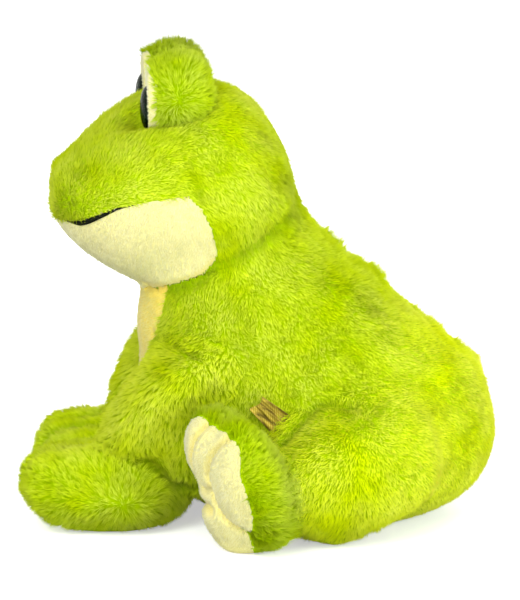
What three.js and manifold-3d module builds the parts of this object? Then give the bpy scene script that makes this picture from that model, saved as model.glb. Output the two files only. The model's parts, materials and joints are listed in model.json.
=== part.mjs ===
// A sitting plush frog, sewn from pile cloth and stuffed with fibre.
// Millimetres, +Z up, the frog looks along -Y and its left side is +X.
// Each cloth panel is its own shell, and each filling lies inside its panels.
import * as THREE from "three";
import { mergeVertices } from "three/addons/utils/BufferGeometryUtils.js";
import Module from "manifold-3d";

const wasm = await Module();
wasm.setup();

// Cloth, seams and cuts.
const cloth = { thickness: 3, seam: 0.35, overrun: 40, floorFlat: 0.5 };

// The torso: a pear with its apex at the nape, and a roll of stuffing that the head sits on.
const torso = { length: 220, width: 180, height: 187, middleY: 35 };
const neckRoll = { radius: 69, halfWidth: 73, ahead: 42, height: 117 };
const pellets = { length: 120, width: 104, height: 34 };
const belly = { neckHalfWidth: 44, middleHalfWidth: 46, baseHalfWidth: 30 };

// The head, its mouth and the eye hoods on top.
const head = { length: 146, width: 152, height: 128, chinLift: 80, ahead: 162 };
const mouth = { slit: 3.4 };
const hood = { depth: 41, width: 45, height: 50, spread: 34, setBack: 59.5, lift: 52.5, rise: 6 };
const eyeSocket = [
  { ahead: 9, share: 1 },
  { ahead: 15, share: 0.75 },
  { ahead: 22, share: 0 },
];
const eyeWhite = { thickness: 8 };
const eye = { radius: 13, rimThickness: 1.4, lensHeight: 4.6, stemRadius: 2.6, stemLength: 16 };
const pupil = { radius: 11.2, height: 3 };
const lens = { wall: 1 };
const washer = { radius: 8, thickness: 2 };

// Limbs, each measured from the joint that carries it.
const shoulder = { out: 62, ahead: 73, height: 98 };
const arm = { thickness: 63, reach: 39 };
const finger = { length: 105, width: 38, height: 49, heel: 37 };
const hip = { out: 80, back: 40, height: 50 };
const leg = { length: 118, thickness: 93, splay: THREE.MathUtils.degToRad(27) };
const ankle = { along: 96, height: 37 };
const foot = { width: 78, height: 90, thickness: 39, beyond: 38 };
const footLean = THREE.MathUtils.degToRad(19);
const tag = { width: 15, length: 19, thickness: 1.8, corner: 2, height: 76 };

// How far each joint turns, in degrees, and how closely its path is followed when clearance is cut.
const shoulderTurn = { low: 0, high: 25, steps: 2 };
const hipTurn = { low: 0, high: 7, steps: 2 };
const ankleTurn = { low: -2, high: 10, steps: 1 };

// How many facets a form has round it and along it.
const fine = { sides: 16, steps: 12 };
const plain = { sides: 12, steps: 7 };
const coarse = { sides: 8, steps: 6 };
const lining = { sides: 6, steps: 5 };
const rollFacets = { sides: 16, steps: 6 };
const roundSides = 16;
const roomSides = 8;
const domeSteps = 4;

// Torso rings: height, then how far the ring reaches to the chest, the rump and each flank.
const torsoRingShares = [
  [0, 0.255, 0.25, 0.3],
  [0.043, 0.335, 0.362, 0.4],
  [0.118, 0.405, 0.441, 0.468],
  [0.242, 0.467, 0.482, 0.5],
  [0.376, 0.492, 0.468, 0.494],
  [0.495, 0.5, 0.43, 0.467],
  [0.58, 0.495, 0.34, 0.439],
  [0.656, 0.486, 0.262, 0.4],
  [0.731, 0.45, 0.185, 0.344],
  [0.806, 0.36, 0.112, 0.267],
  [0.86, 0, 0, 0],
];
const torsoPoleShare = -0.11;

// Head rings from the nose to the nape: place along the head, rise, drop and half width.
const headRingShares = [
  [0, 0, 0, 0],
  [0.0135, 0.12, 0.117, 0.156],
  [0.054, 0.168, 0.195, 0.247],
  [0.128, 0.248, 0.281, 0.331],
  [0.236, 0.358, 0.367, 0.403],
  [0.372, 0.455, 0.44, 0.455],
  [0.52, 0.494, 0.465, 0.487],
  [0.669, 0.502, 0.435, 0.5],
  [0.804, 0.442, 0.39, 0.474],
  [0.912, 0.29, 0.29, 0.39],
  [0.973, 0.14, 0.15, 0.273],
  [1, 0, 0, 0],
];

// The seam between the upper head and the chin, from the nose back and then down to the neck.
const lipShares = [
  [-0.05, -0.14],
  [0.12, -0.095],
  [0.26, -0.022],
  [0.4, 0.016],
  [0.55, 0.045],
];
const jawSeamShares = [
  [0.6, -0.02],
  [0.655, -0.17],
  [0.68, -0.7],
];
const slitShares = [-0.05, 0.12, 0.24, 0.31];
const slitTipShare = 0.05;

// Hood rings from its flat front to its back: depth, radius, and how far each is raised.
const hoodRingShares = [
  [0, 0.78, -0.02],
  [0.08, 0.88, -0.01],
  [0.3, 0.98, 0.02],
  [0.55, 1, 0.05],
  [0.8, 0.84, 0.06],
  [0.94, 0.55, 0.04],
  [1, 0, 0.02],
];

// Arm rings from shoulder to palm: height, share of the paw's inward and forward shifts, radius.
const armRingShares = [
  [1.2, 0.02, 0.1, 0],
  [1.16, 0.03, 0.13, 0.22],
  [1.08, 0.05, 0.18, 0.38],
  [0.98, 0.1, 0.26, 0.47],
  [0.86, 0.2, 0.42, 0.5],
  [0.74, 0.36, 0.58, 0.5],
  [0.58, 0.6, 0.8, 0.48],
  [0.42, 0.82, 0.97, 0.43],
  [0.28, 0.96, 1.07, 0.34],
  [0.16, 1, 1.13, 0.18],
  [0.1, 1, 1.15, 0],
];

// Fingers, and the palm inside them: where each starts and ends, and its width and height.
const fingerShares = [
  { root: [0.12, 0], tip: [0.21, -0.97], size: [1, 1.06] },
  { root: [0, 0], tip: [0, -1], size: [1, 1] },
  { root: [-0.12, 0], tip: [-0.21, -0.95], size: [0.96, 0.96] },
];
const palmShares = [{ root: [0, -0.02], tip: [0, -0.9], size: [2.2, 0.84] }];
// Finger rings from the heel to the tip, which lifts off the floor: place, side, rise and drop.
const fingerRingShares = [
  [0, 0, 0, 0],
  [0.05, 0.42, 0.42, 0.42],
  [0.18, 0.8, 0.8, 0.8],
  [0.36, 1, 1, 1],
  [0.56, 1, 1, 1],
  [0.76, 0.94, 0.97, 0.88],
  [0.9, 0.74, 0.86, 0.6],
  [0.97, 0.46, 0.58, 0.3],
  [1, 0, 0, 0],
];
// The paws as the toy was set down: how far forward and how far inward each lies.
const pawPoseShare = {
  left: { forward: 1.04, inward: 0.78 },
  right: { forward: 0.79, inward: 0.3 },
};

// Leg rings from the hip to the ankle, plumper above than below: place, side, rise and drop.
const legRingShares = [
  [0, 0, 0, 0],
  [0.06, 0.22, 0.27, 0.18],
  [0.17, 0.37, 0.44, 0.33],
  [0.3, 0.45, 0.5, 0.42],
  [0.46, 0.46, 0.48, 0.455],
  [0.62, 0.43, 0.43, 0.44],
  [0.77, 0.36, 0.36, 0.36],
  [0.9, 0.26, 0.26, 0.26],
  [0.97, 0.15, 0.15, 0.15],
  [1, 0, 0, 0],
];

// Puffed lobes of the foot: place across, up and through, and half sizes the same way.
const footLobeShares = [
  { at: [0.02, -0.14, -0.16], half: [0.36, 0.36, 0.46] },
  { at: [-0.15, 0.19, 0], half: [0.34, 0.31, 0.5] },
  { at: [0.18, 0.04, 0.02], half: [0.31, 0.43, 0.5] },
  { at: [-0.1, -0.24, 0], half: [0.38, 0.26, 0.5] },
];
const footCoreShares = { at: [0, -0.03, -0.04], half: [0.4, 0.42, 0.4] };
const soleShare = 0.12;

const colours = {
  lime: { color: 0xa9cf1e, roughness: 0.95, metalness: 0 },
  cream: { color: 0xf2efb0, roughness: 0.95, metalness: 0 },
  black: { color: 0x14180f, roughness: 0.85, metalness: 0 },
  fibre: { color: 0xf4f4f0, roughness: 1, metalness: 0 },
  pelletCloth: { color: 0xd9d6cc, roughness: 0.9, metalness: 0 },
  iris: { color: 0x9acb2c, roughness: 0.25, metalness: 0 },
  pupil: { color: 0x07090a, roughness: 0.12, metalness: 0 },
  lens: { color: 0xe9f4d2, roughness: 0.05, metalness: 0 },
  washer: { color: 0xf0f0ee, roughness: 0.5, metalness: 0 },
  gold: { color: 0xb89a34, roughness: 0.45, metalness: 0 },
};
const materials = Object.fromEntries(
  Object.entries(colours).map(([name, finish]) => [name, new THREE.MeshStandardMaterial(finish)]),
);

// A three.js geometry as a solid that can be joined and cut.
function solid(geometry) {
  const bare = geometry.index ? geometry.toNonIndexed() : geometry.clone();
  const places = new THREE.BufferGeometry();
  places.setAttribute("position", bare.getAttribute("position"));
  const merged = mergeVertices(places);
  return new wasm.Manifold(
    new wasm.Mesh({
      numProp: 3,
      vertProperties: new Float32Array(merged.attributes.position.array),
      triVerts: new Uint32Array(merged.index.array),
    }),
  );
}

// A solid back as a geometry, moved so that its joint is at the geometry's origin.
function geometryOf(made, joint) {
  const mesh = made.getMesh();
  const geometry = new THREE.BufferGeometry();
  geometry.setAttribute("position", new THREE.BufferAttribute(mesh.vertProperties, mesh.numProp));
  geometry.setIndex(new THREE.BufferAttribute(mesh.triVerts, 1));
  geometry.translate(-joint.x, -joint.y, -joint.z);
  geometry.computeVertexNormals();
  return geometry;
}

const union = (parts) => parts.reduce((whole, part) => whole.add(part));
const without = (whole, cuts) => cuts.reduce((left, cut) => left.subtract(cut), whole);

// A box between two corners.
function block(low, high) {
  const size = new THREE.Vector3().subVectors(high, low);
  const middle = new THREE.Vector3().addVectors(low, high).multiplyScalar(0.5);
  return solid(new THREE.BoxGeometry(size.x, size.y, size.z).translate(middle.x, middle.y, middle.z));
}

// An outline of [across, up] points pushed through the part along X or Y.
function slab(points, along, halfLength) {
  const shape = new THREE.Shape(points.map(([a, b]) => new THREE.Vector2(a, b)));
  const geometry = new THREE.ExtrudeGeometry(shape, { depth: 2 * halfLength, bevelEnabled: false });
  geometry.translate(0, 0, -halfLength);
  const turn = new THREE.Matrix4();
  if (along === "x") turn.makeBasis(axisY, axisZ, axisX);
  else turn.makeBasis(axisX, axisZ, axisY.clone().negate());
  return solid(geometry.applyMatrix4(turn));
}

const axisX = new THREE.Vector3(1, 0, 0);
const axisY = new THREE.Vector3(0, 1, 0);
const axisZ = new THREE.Vector3(0, 0, 1);

// A stuffed form: rings along a line, smoothed between, with a point or a flat cap at each end.
// A ring has a centre and reaches to both sides, and its own distance up and down.
function stuffed(rings, across, up, facets, grow = 0) {
  const last = rings.length - 1;
  const centres = rings.map((ring) => ring.centre.clone());
  if (rings[0].side === 0) moveEnd(centres, 0, 1, grow);
  if (rings[last].side === 0) moveEnd(centres, last, last - 1, grow);
  const swell = (reach) => (reach === 0 ? 0 : Math.max(reach + grow, cloth.seam));
  const reaches = rings.map((r) => new THREE.Vector3(swell(r.side), swell(r.rise), swell(r.drop)));
  const line = new THREE.CatmullRomCurve3(centres, false, "catmullrom");
  const girth = new THREE.CatmullRomCurve3(reaches, false, "catmullrom");
  const points = [line.getPoint(0)];
  const firstRing = rings[0].side === 0 ? 1 : 0;
  const endRing = rings[last].side === 0 ? facets.steps - 1 : facets.steps;
  for (let i = firstRing; i <= endRing; i += 1) {
    const middle = line.getPoint(i / facets.steps);
    const reach = girth.getPoint(i / facets.steps);
    for (let j = 0; j < facets.sides; j += 1) {
      const angle = (2 * Math.PI * j) / facets.sides;
      const height = Math.sin(angle) * (Math.sin(angle) > 0 ? reach.y : reach.z);
      const point = middle.clone().addScaledVector(across, reach.x * Math.cos(angle));
      points.push(point.addScaledVector(up, height));
    }
  }
  points.push(line.getPoint(1));
  return solid(ringMesh(points, facets.sides, endRing - firstRing + 1));
}

// Moves the point at one end of a line of centres further out along that line.
function moveEnd(centres, end, inner, distance) {
  const away = new THREE.Vector3().subVectors(centres[end], centres[inner]).normalize();
  centres[end].addScaledVector(away, distance);
}

// Faces between rings of points, closed by a fan at each end.
function ringMesh(points, sides, ringCount) {
  const faces = [];
  const at = (ring, side) => 1 + ring * sides + (side % sides);
  for (let j = 0; j < sides; j += 1) {
    faces.push(0, at(0, j + 1), at(0, j));
    faces.push(points.length - 1, at(ringCount - 1, j), at(ringCount - 1, j + 1));
    for (let i = 0; i < ringCount - 1; i += 1) {
      faces.push(at(i, j), at(i, j + 1), at(i + 1, j + 1));
      faces.push(at(i, j), at(i + 1, j + 1), at(i + 1, j));
    }
  }
  const geometry = new THREE.BufferGeometry().setFromPoints(points);
  geometry.setIndex(faces);
  return outward(geometry);
}

// Turns the faces round if the form came out inside out.
function outward(geometry) {
  const place = geometry.attributes.position;
  const index = geometry.index.array;
  const [a, b, c] = [new THREE.Vector3(), new THREE.Vector3(), new THREE.Vector3()];
  let volume = 0;
  for (let i = 0; i < index.length; i += 3) {
    a.fromBufferAttribute(place, index[i]);
    b.fromBufferAttribute(place, index[i + 1]);
    c.fromBufferAttribute(place, index[i + 2]);
    volume += a.dot(b.cross(c));
  }
  if (volume < 0) index.reverse();
  return geometry;
}

// A solid turned about an axis through a point, in degrees.
function turned(made, joint, axis, degrees) {
  const turn = new THREE.Matrix4()
    .makeTranslation(joint.x, joint.y, joint.z)
    .multiply(new THREE.Matrix4().makeRotationAxis(axis, THREE.MathUtils.degToRad(degrees)))
    .multiply(new THREE.Matrix4().makeTranslation(-joint.x, -joint.y, -joint.z));
  return made.transform(turn.elements);
}

// What a neighbour sweeps, seen from a piece that turns about a joint.
function swept(neighbour, joint, axis, turn) {
  const places = [];
  for (let i = 0; i <= turn.steps; i += 1) {
    const degrees = turn.low + ((turn.high - turn.low) * i) / turn.steps;
    places.push(turned(neighbour, joint, axis, -degrees));
  }
  return union(places);
}

// Everything below the floor that the toy sits on.
const reachOfAll = torso.length + torso.width + cloth.overrun;
const floor = block(
  new THREE.Vector3(-reachOfAll, -reachOfAll, -reachOfAll),
  new THREE.Vector3(reachOfAll, reachOfAll, 0),
);

// The torso, grown or shrunk by a distance.
const torsoCentreY = torso.middleY;
function torsoForm(facets, grow = 0) {
  const rings = torsoRingShares.map(([height, chest, rump, flank]) => ({
    centre: new THREE.Vector3(
      0,
      torsoCentreY + (flank === 0 ? torsoPoleShare * torso.length : 0),
      Math.max(height * torso.height, -Math.min(grow, 0)),
    ),
    side: flank * torso.width,
    rise: rump * torso.length,
    drop: chest * torso.length,
  }));
  return stuffed(rings, axisX, axisY, facets, grow);
}

// The neck roll turns in the head's socket, so both are rings round the nodding axis. The socket's
// flats clear the roll's edges all the way round, which start in the middle of those flats.
const neckJoint = new THREE.Vector3(0, torsoCentreY - neckRoll.ahead, neckRoll.height);
function neckForm(facets, radius, halfWidth, phase) {
  const ball = new THREE.SphereGeometry(1, facets.sides, facets.steps, phase).rotateZ(Math.PI / 2);
  ball.scale(halfWidth, radius, radius);
  return solid(ball.translate(neckJoint.x, neckJoint.y, neckJoint.z));
}
const neckRollForm = (facets, grow) =>
  neckForm(facets, neckRoll.radius + grow, neckRoll.halfWidth + grow, 0);
const halfFlat = Math.PI / rollFacets.sides;
const neckSocket = neckForm(
  rollFacets,
  (neckRoll.radius + 2 * cloth.seam) / Math.cos(halfFlat),
  neckRoll.halfWidth + 2 * cloth.seam,
  halfFlat,
);

const torsoWith = (facets, neckFacets, grow) =>
  torsoForm(facets, grow).add(neckRollForm(neckFacets, grow));
const fillGrow = -cloth.thickness - cloth.seam;
const torsoOuter = torsoWith(fine, rollFacets, 0);
const torsoInner = torsoWith(coarse, lining, -cloth.thickness);
const torsoFill = torsoWith(coarse, lining, fillGrow);
const torsoGrown = torsoWith(fine, rollFacets, 2 * cloth.seam);

// The part of the torso's shell that the chest and belly panel takes.
function bellyRegion(grow) {
  const top = neckRoll.height + neckRoll.radius + cloth.overrun;
  const rightEdge = [
    [belly.baseHalfWidth + grow, -cloth.overrun],
    [belly.baseHalfWidth + grow, cloth.thickness],
    [belly.middleHalfWidth + grow, torso.height / 4],
    [belly.neckHalfWidth + grow, torso.height / 2],
    [belly.neckHalfWidth + grow, top],
  ];
  const leftEdge = rightEdge.map(([x, z]) => [-x, z]).reverse();
  const depth = torso.length / 2;
  return slab([...rightEdge, ...leftEdge], "y", depth).translate([0, neckJoint.y - depth, 0]);
}

const baseRegion = (grow) =>
  block(
    new THREE.Vector3(-torso.width, -torso.length, -cloth.overrun),
    new THREE.Vector3(torso.width, torso.length, cloth.thickness + grow),
  );
const sideRegion = (side) => {
  const near = side * cloth.seam * 0.5;
  const far = side * (torso.width + head.width);
  return block(
    new THREE.Vector3(Math.min(near, far), -reachOfAll, -reachOfAll),
    new THREE.Vector3(Math.max(near, far), reachOfAll, reachOfAll),
  );
};

const torsoShell = torsoOuter.subtract(torsoInner).subtract(floor);
const basePanel = torsoShell.intersect(baseRegion(0));
const bellyPanel = torsoShell.intersect(bellyRegion(0)).subtract(baseRegion(cloth.seam));
const torsoRest = without(torsoShell, [baseRegion(cloth.seam), bellyRegion(cloth.seam)]);

// The pellet bag lies on the base panel, in a hollow left for it under the filling.
const pelletForm = (grow) =>
  solid(
    new THREE.SphereGeometry(1, coarse.sides, coarse.steps)
      .rotateX(Math.PI / 2)
      .scale(pellets.width / 2 + grow, pellets.length / 2 + grow, pellets.height / 2 + grow)
      .translate(0, torsoCentreY, cloth.thickness + cloth.seam + pellets.height / 2),
  );
const pelletBag = pelletForm(0);
const pelletRoom = pelletForm(cloth.seam).add(
  block(
    new THREE.Vector3(-pellets.width / 4, torsoCentreY - pellets.length / 4, -cloth.thickness),
    new THREE.Vector3(pellets.width / 4, torsoCentreY + pellets.length / 4, pellets.height / 2),
  ),
);

// The head, along its own length from the nose back.
const noseY = torsoCentreY - head.ahead;
const mouthLevel = neckJoint.z + head.chinLift;
function headForm(facets, grow = 0) {
  const rings = headRingShares.map(([along, rise, drop, half]) => ({
    centre: new THREE.Vector3(0, noseY + along * head.length, mouthLevel),
    side: half * head.width,
    rise: rise * head.height,
    drop: drop * head.height,
  }));
  return stuffed(rings, axisX, axisZ, facets, grow);
}

const headPoint = ([along, up]) => [noseY + along * head.length, mouthLevel + up * head.height];
function jawRegion(grow) {
  const lip = lipShares.map(headPoint).map(([y, z]) => [y, z + grow]);
  const seam = jawSeamShares.map(headPoint).map(([y, z]) => [y + grow, z]);
  const under = mouthLevel - head.height;
  return slab([...lip, ...seam, [lip[0][0], under]], "x", head.width);
}

// The black mouth runs round the nose between the lip and the chin, and tapers to its corners.
function mouthRegion(grow) {
  const heightAt = new THREE.SplineCurve(lipShares.map((p) => new THREE.Vector2(...headPoint(p))));
  const upper = [];
  const lower = [];
  const lastShare = slitShares[slitShares.length - 1];
  for (const share of slitShares) {
    const fullness = Math.sqrt(Math.max(slitTipShare, (lastShare - share) / lastShare));
    const lip = lipHeight(heightAt, noseY + share * head.length);
    const y = noseY + share * head.length + (share === lastShare ? grow : 0);
    upper.push([y, lip + grow]);
    lower.unshift([y, lip - Math.min(fullness, 1) * mouth.slit - grow]);
  }
  return slab([...upper, ...lower], "x", head.width);
}

function lipHeight(curve, y) {
  const points = curve.getPoints(head.length);
  const after = points.findIndex((point) => point.x >= y);
  return points[Math.max(after, 0)].y;
}

const headOuter = headForm(fine).subtract(neckSocket);
const headInner = headForm(coarse, -cloth.thickness);
const headShell = headOuter.subtract(headInner);
const mouthLine = headShell.intersect(mouthRegion(0));
const jawPanel = headShell.intersect(jawRegion(-cloth.seam / 2)).subtract(mouthRegion(cloth.seam));
const upperHead = without(headShell, [jawRegion(cloth.seam / 2), mouthRegion(cloth.seam)]);
const headFill = headForm(coarse, fillGrow).subtract(neckSocket);

// Eye hoods, with each eye's stem through the white and a washer pressed on behind it.
function lathe(profile, at, sides = roundSides) {
  const points = profile.map(([radius, height]) => new THREE.Vector2(radius, height));
  const geometry = new THREE.LatheGeometry(points, sides);
  return solid(geometry.rotateX(Math.PI).translate(at.x, at.y, at.z));
}

// A low dome's outline, from its rim to its top.
function domeOutline(radius, height, base) {
  const outline = [];
  for (let i = 0; i <= domeSteps; i += 1) {
    const angle = (Math.PI / 2) * (i / domeSteps);
    outline.push([i === domeSteps ? 0 : radius * Math.cos(angle), base + height * Math.sin(angle)]);
  }
  return outline;
}

const disc = (radius, low, high) => [[0, low], [radius, low], [radius, high], [0, high]];

const eyePlace = (side) =>
  new THREE.Vector3(side * hood.spread, noseY + hood.setBack, mouthLevel + hood.lift);

function hoodForm(side, grow = 0) {
  const front = eyePlace(side);
  const middle = front.z + hood.rise;
  const rings = hoodRingShares.map(([depth, radius, lift]) => ({
    centre: new THREE.Vector3(front.x, front.y + depth * hood.depth, middle + lift * hood.height),
    side: (radius * hood.width) / 2,
    rise: (radius * hood.height) / 2,
    drop: (radius * hood.height) / 2,
  }));
  return stuffed(rings, axisX, axisZ, coarse, grow);
}

// The room that an eye, its stem and its washer take in the cloth behind them.
function eyeRoom(side) {
  const at = eyePlace(side);
  const widen = 1 / Math.cos(Math.PI / roomSides);
  const hollow = (radius, low, high) =>
    lathe(disc((radius + cloth.seam) * widen, low, high), at, roomSides);
  const back = -eyeWhite.thickness - 2 * cloth.seam - washer.thickness;
  const socketRadius = (eye.radius + cloth.seam) * widen;
  const socket = eyeSocket.map(({ ahead, share }) => [share * socketRadius, ahead]);
  return union([
    lathe([[0, 0], [socketRadius, 0], ...socket], at, roomSides),
    hollow(eye.stemRadius, -eye.stemLength - cloth.seam, cloth.seam),
    hollow(washer.radius, back, -eyeWhite.thickness),
  ]);
}

function eyeGroup(side) {
  const at = eyePlace(side);
  const front = block(
    new THREE.Vector3(at.x - hood.width, at.y - cloth.overrun, at.z - hood.height),
    new THREE.Vector3(at.x + hood.width, at.y + eyeWhite.thickness, at.z + hood.height),
  );
  const carved = hoodForm(side).subtract(headForm(fine, cloth.seam)).subtract(eyeRoom(side));
  const rim = cloth.seam + eye.rimThickness;
  const eyeBack = [
    [0, -eye.stemLength],
    [eye.stemRadius, -eye.stemLength],
    [eye.stemRadius, cloth.seam],
    [eye.radius, cloth.seam],
    [eye.radius, rim],
    [0, rim],
  ];
  const base = rim + cloth.seam / 2;
  const inner = domeOutline(eye.radius - lens.wall, eye.lensHeight - lens.wall, base);
  const outer = domeOutline(eye.radius, eye.lensHeight, base);
  const washerBack = -eyeWhite.thickness - cloth.seam - washer.thickness;
  const hole = eye.stemRadius + cloth.seam;
  const ring = [
    [hole, washerBack],
    [washer.radius, washerBack],
    [washer.radius, washerBack + washer.thickness],
    [hole, washerBack + washer.thickness],
    [hole, washerBack],
  ];
  return {
    hoodCloth: carved.subtract(front.translate([0, cloth.seam, 0])),
    white: carved.intersect(front),
    eyeBack: lathe(eyeBack, at),
    pupilSolid: lathe([[0, base], ...domeOutline(pupil.radius, pupil.height, base)], at),
    lensSolid: lathe([...outer, ...inner.reverse(), outer[0]], at),
    washerSolid: lathe(ring, at),
  };
}

const eyeRooms = union([eyeRoom(1), eyeRoom(-1)]);
const headSkins = upperHead.subtract(eyeRooms);
const headStuffing = headFill.subtract(eyeRooms);

// An arm with its three-fingered paw flat on the floor.
function armForm(side, pose, facets, grow, shares, shareFacets) {
  const inward = arm.reach * pose.inward;
  const forward = arm.reach * pose.forward;
  const top = shoulderJoint(side);
  const rings = armRingShares.map(([height, inShare, forwardShare, radius]) => ({
    centre: new THREE.Vector3(
      top.x - side * inShare * inward,
      top.y - forwardShare * forward,
      height * shoulder.height,
    ),
    side: radius * arm.thickness,
    rise: radius * arm.thickness,
    drop: radius * arm.thickness,
  }));
  const heel = new THREE.Vector3(top.x - side * inward, top.y - forward + finger.heel, 0);
  const fingers = shares.map((share) => fingerForm(side, share, heel, shareFacets, grow));
  return union([stuffed(rings, axisX, axisY, facets, grow), ...fingers]).subtract(floor);
}

function fingerForm(side, { root, tip, size }, heel, facets, grow) {
  const half = (finger.height * size[1]) / 2;
  const place = ([out, along]) =>
    new THREE.Vector3(side * out, along, 0)
      .multiplyScalar(finger.length)
      .add(heel)
      .setZ(half - cloth.floorFlat);
  const from = place(root);
  const to = place(tip);
  const rings = fingerRingShares.map(([along, reach, rise, drop]) => ({
    centre: new THREE.Vector3().lerpVectors(from, to, along),
    side: (reach * finger.width * size[0]) / 2,
    rise: rise * half,
    drop: drop * half,
  }));
  const direction = new THREE.Vector3().subVectors(to, from).normalize();
  const across = new THREE.Vector3().crossVectors(direction, axisZ).normalize();
  return stuffed(rings, across, axisZ, facets, grow);
}

// The way a leg points, outward from straight ahead.
const legDirection = (side) =>
  new THREE.Vector3(side * Math.sin(leg.splay), -Math.cos(leg.splay), 0);

const hipJoint = (side) =>
  new THREE.Vector3(side * hip.out, torsoCentreY + hip.back, hip.height);
const shoulderJoint = (side) =>
  new THREE.Vector3(side * shoulder.out, torsoCentreY - shoulder.ahead, shoulder.height);

// The leg passes beside the hip joint and rests on the floor along its thigh.
function legStart(side) {
  const inset = leg.thickness / 4;
  return new THREE.Vector3(side * (hip.out - inset), torsoCentreY + hip.back + inset, 0);
}

function ankleJoint(side) {
  const start = legStart(side).addScaledVector(legDirection(side), ankle.along);
  return start.setZ(ankle.height);
}

function legForm(side, facets, grow) {
  const start = legStart(side);
  const across = new THREE.Vector3().crossVectors(legDirection(side), axisZ);
  const thighHalf = leg.thickness / 2;
  const rings = legRingShares.map(([along, reach, rise, drop]) => ({
    centre: start
      .clone()
      .addScaledVector(legDirection(side), along * leg.length)
      .setZ(thighHalf - cloth.floorFlat - along * (thighHalf - ankle.height)),
    side: reach * leg.thickness,
    rise: rise * leg.thickness,
    drop: drop * leg.thickness,
  }));
  return stuffed(rings, across, axisZ, facets, grow).subtract(floor);
}

// The foot's own axes: across the sole, up the sole and out through the sole.
function footAxes(side) {
  const ahead = legDirection(side);
  const through = ahead.clone().multiplyScalar(Math.cos(footLean));
  through.addScaledVector(axisZ, -Math.sin(footLean));
  const up = axisZ.clone().multiplyScalar(Math.cos(footLean));
  up.addScaledVector(ahead, Math.sin(footLean));
  const across = new THREE.Vector3(side * Math.cos(leg.splay), Math.sin(leg.splay), 0);
  return { across, up, through };
}

function footCentre(side) {
  const centre = ankleJoint(side).addScaledVector(legDirection(side), foot.beyond);
  return centre.setZ((foot.height * Math.cos(footLean)) / 2 - cloth.floorFlat);
}

function footForm(side, facets, grow, shares) {
  const { across, up, through } = footAxes(side);
  const centre = footCentre(side);
  const lobes = shares.map(({ at, half }) => {
    const place = centre.clone();
    place.addScaledVector(across, at[0] * foot.width);
    place.addScaledVector(up, at[1] * foot.height);
    place.addScaledVector(through, at[2] * foot.thickness);
    const ball = new THREE.SphereGeometry(1, facets.sides, facets.steps);
    ball.scale(
      half[0] * foot.width + grow,
      half[1] * foot.height + grow,
      half[2] * foot.thickness + grow,
    );
    const basis = new THREE.Matrix4().makeBasis(across, up, through).setPosition(place);
    ball.applyMatrix4(basis);
    return solid(outward(mergeVertices(bareGeometry(ball))));
  });
  return union(lobes).subtract(floor);
}

function bareGeometry(geometry) {
  const bare = geometry.clone();
  bare.deleteAttribute("normal");
  bare.deleteAttribute("uv");
  return bare;
}

// Everything of the foot on the sole's side of its seam.
function soleRegion(side, gap) {
  const { across, up, through } = footAxes(side);
  const size = foot.height + foot.width;
  const slice = new THREE.BoxGeometry(size, size, size);
  slice.translate(0, 0, size / 2 + soleShare * foot.thickness - gap);
  slice.applyMatrix4(new THREE.Matrix4().makeBasis(across, up, through).setPosition(footCentre(side)));
  return solid(outward(mergeVertices(bareGeometry(slice))));
}

// A plain folded ribbon let into the left side seam in front of the thigh.
function tagForm(grow) {
  const seamY = torsoCentreY - hip.back + tag.width / 4;
  const flank = torsoGrown.intersect(
    block(
      new THREE.Vector3(0, seamY - tag.width / 2, tag.height - tag.corner),
      new THREE.Vector3(torso.width, seamY + tag.width / 2, tag.height + tag.corner),
    ),
  );
  const half = tag.width / 2 + grow;
  const drop = tag.length / 2 + grow;
  const outline = new THREE.Shape();
  outline.moveTo(-half, drop);
  outline.lineTo(-half, tag.corner - drop);
  outline.quadraticCurveTo(-half, -drop, tag.corner - half, -drop);
  outline.lineTo(half - tag.corner, -drop);
  outline.quadraticCurveTo(half, -drop, half, tag.corner - drop);
  outline.lineTo(half, drop);
  const ribbon = new THREE.ExtrudeGeometry(outline, {
    depth: tag.thickness + cloth.thickness + grow,
    bevelEnabled: false,
    curveSegments: 2,
  });
  ribbon.applyMatrix4(new THREE.Matrix4().makeBasis(axisY, axisZ, axisX));
  ribbon.translate(flank.boundingBox().max[0] - cloth.thickness, seamY, tag.height);
  return solid(ribbon);
}
const tagRoom = tagForm(2 * cloth.seam);

// One named mesh, in the group of the body that it moves with.
function put(group, name, made, material) {
  const mesh = new THREE.Mesh(geometryOf(made, group.userData.joint), materials[material]);
  mesh.name = name;
  group.add(mesh);
}

// A group whose origin is its joint, so that turning the group turns the joint.
function bodyAt(name, joint, parent) {
  const group = new THREE.Group();
  group.name = name;
  group.userData.joint = joint;
  const from = parent.userData.joint ?? new THREE.Vector3();
  group.position.subVectors(joint, from);
  parent.add(group);
  return group;
}

const frog = new THREE.Group();
const torsoBody = bodyAt("torso", new THREE.Vector3(), frog);
put(torsoBody, "torso_skin_left", torsoRest.intersect(sideRegion(1)), "lime");
put(torsoBody, "torso_skin_right", torsoRest.intersect(sideRegion(-1)), "lime");
put(torsoBody, "belly_panel", bellyPanel, "cream");
put(torsoBody, "base_panel", basePanel, "lime");
put(torsoBody, "torso_filling", torsoFill.subtract(pelletRoom), "fibre");
put(torsoBody, "pellet_bag", pelletBag, "pelletCloth");
put(torsoBody, "side_tag", tagForm(0).subtract(torsoForm(fine, cloth.seam)), "gold");

const headBody = bodyAt("head", neckJoint, frog);
put(headBody, "head_skin_left", headSkins.intersect(sideRegion(1)), "lime");
put(headBody, "head_skin_right", headSkins.intersect(sideRegion(-1)), "lime");
put(headBody, "jaw_panel", jawPanel, "cream");
put(headBody, "mouth_line", mouthLine, "black");
put(headBody, "head_filling", headStuffing, "fibre");

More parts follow.
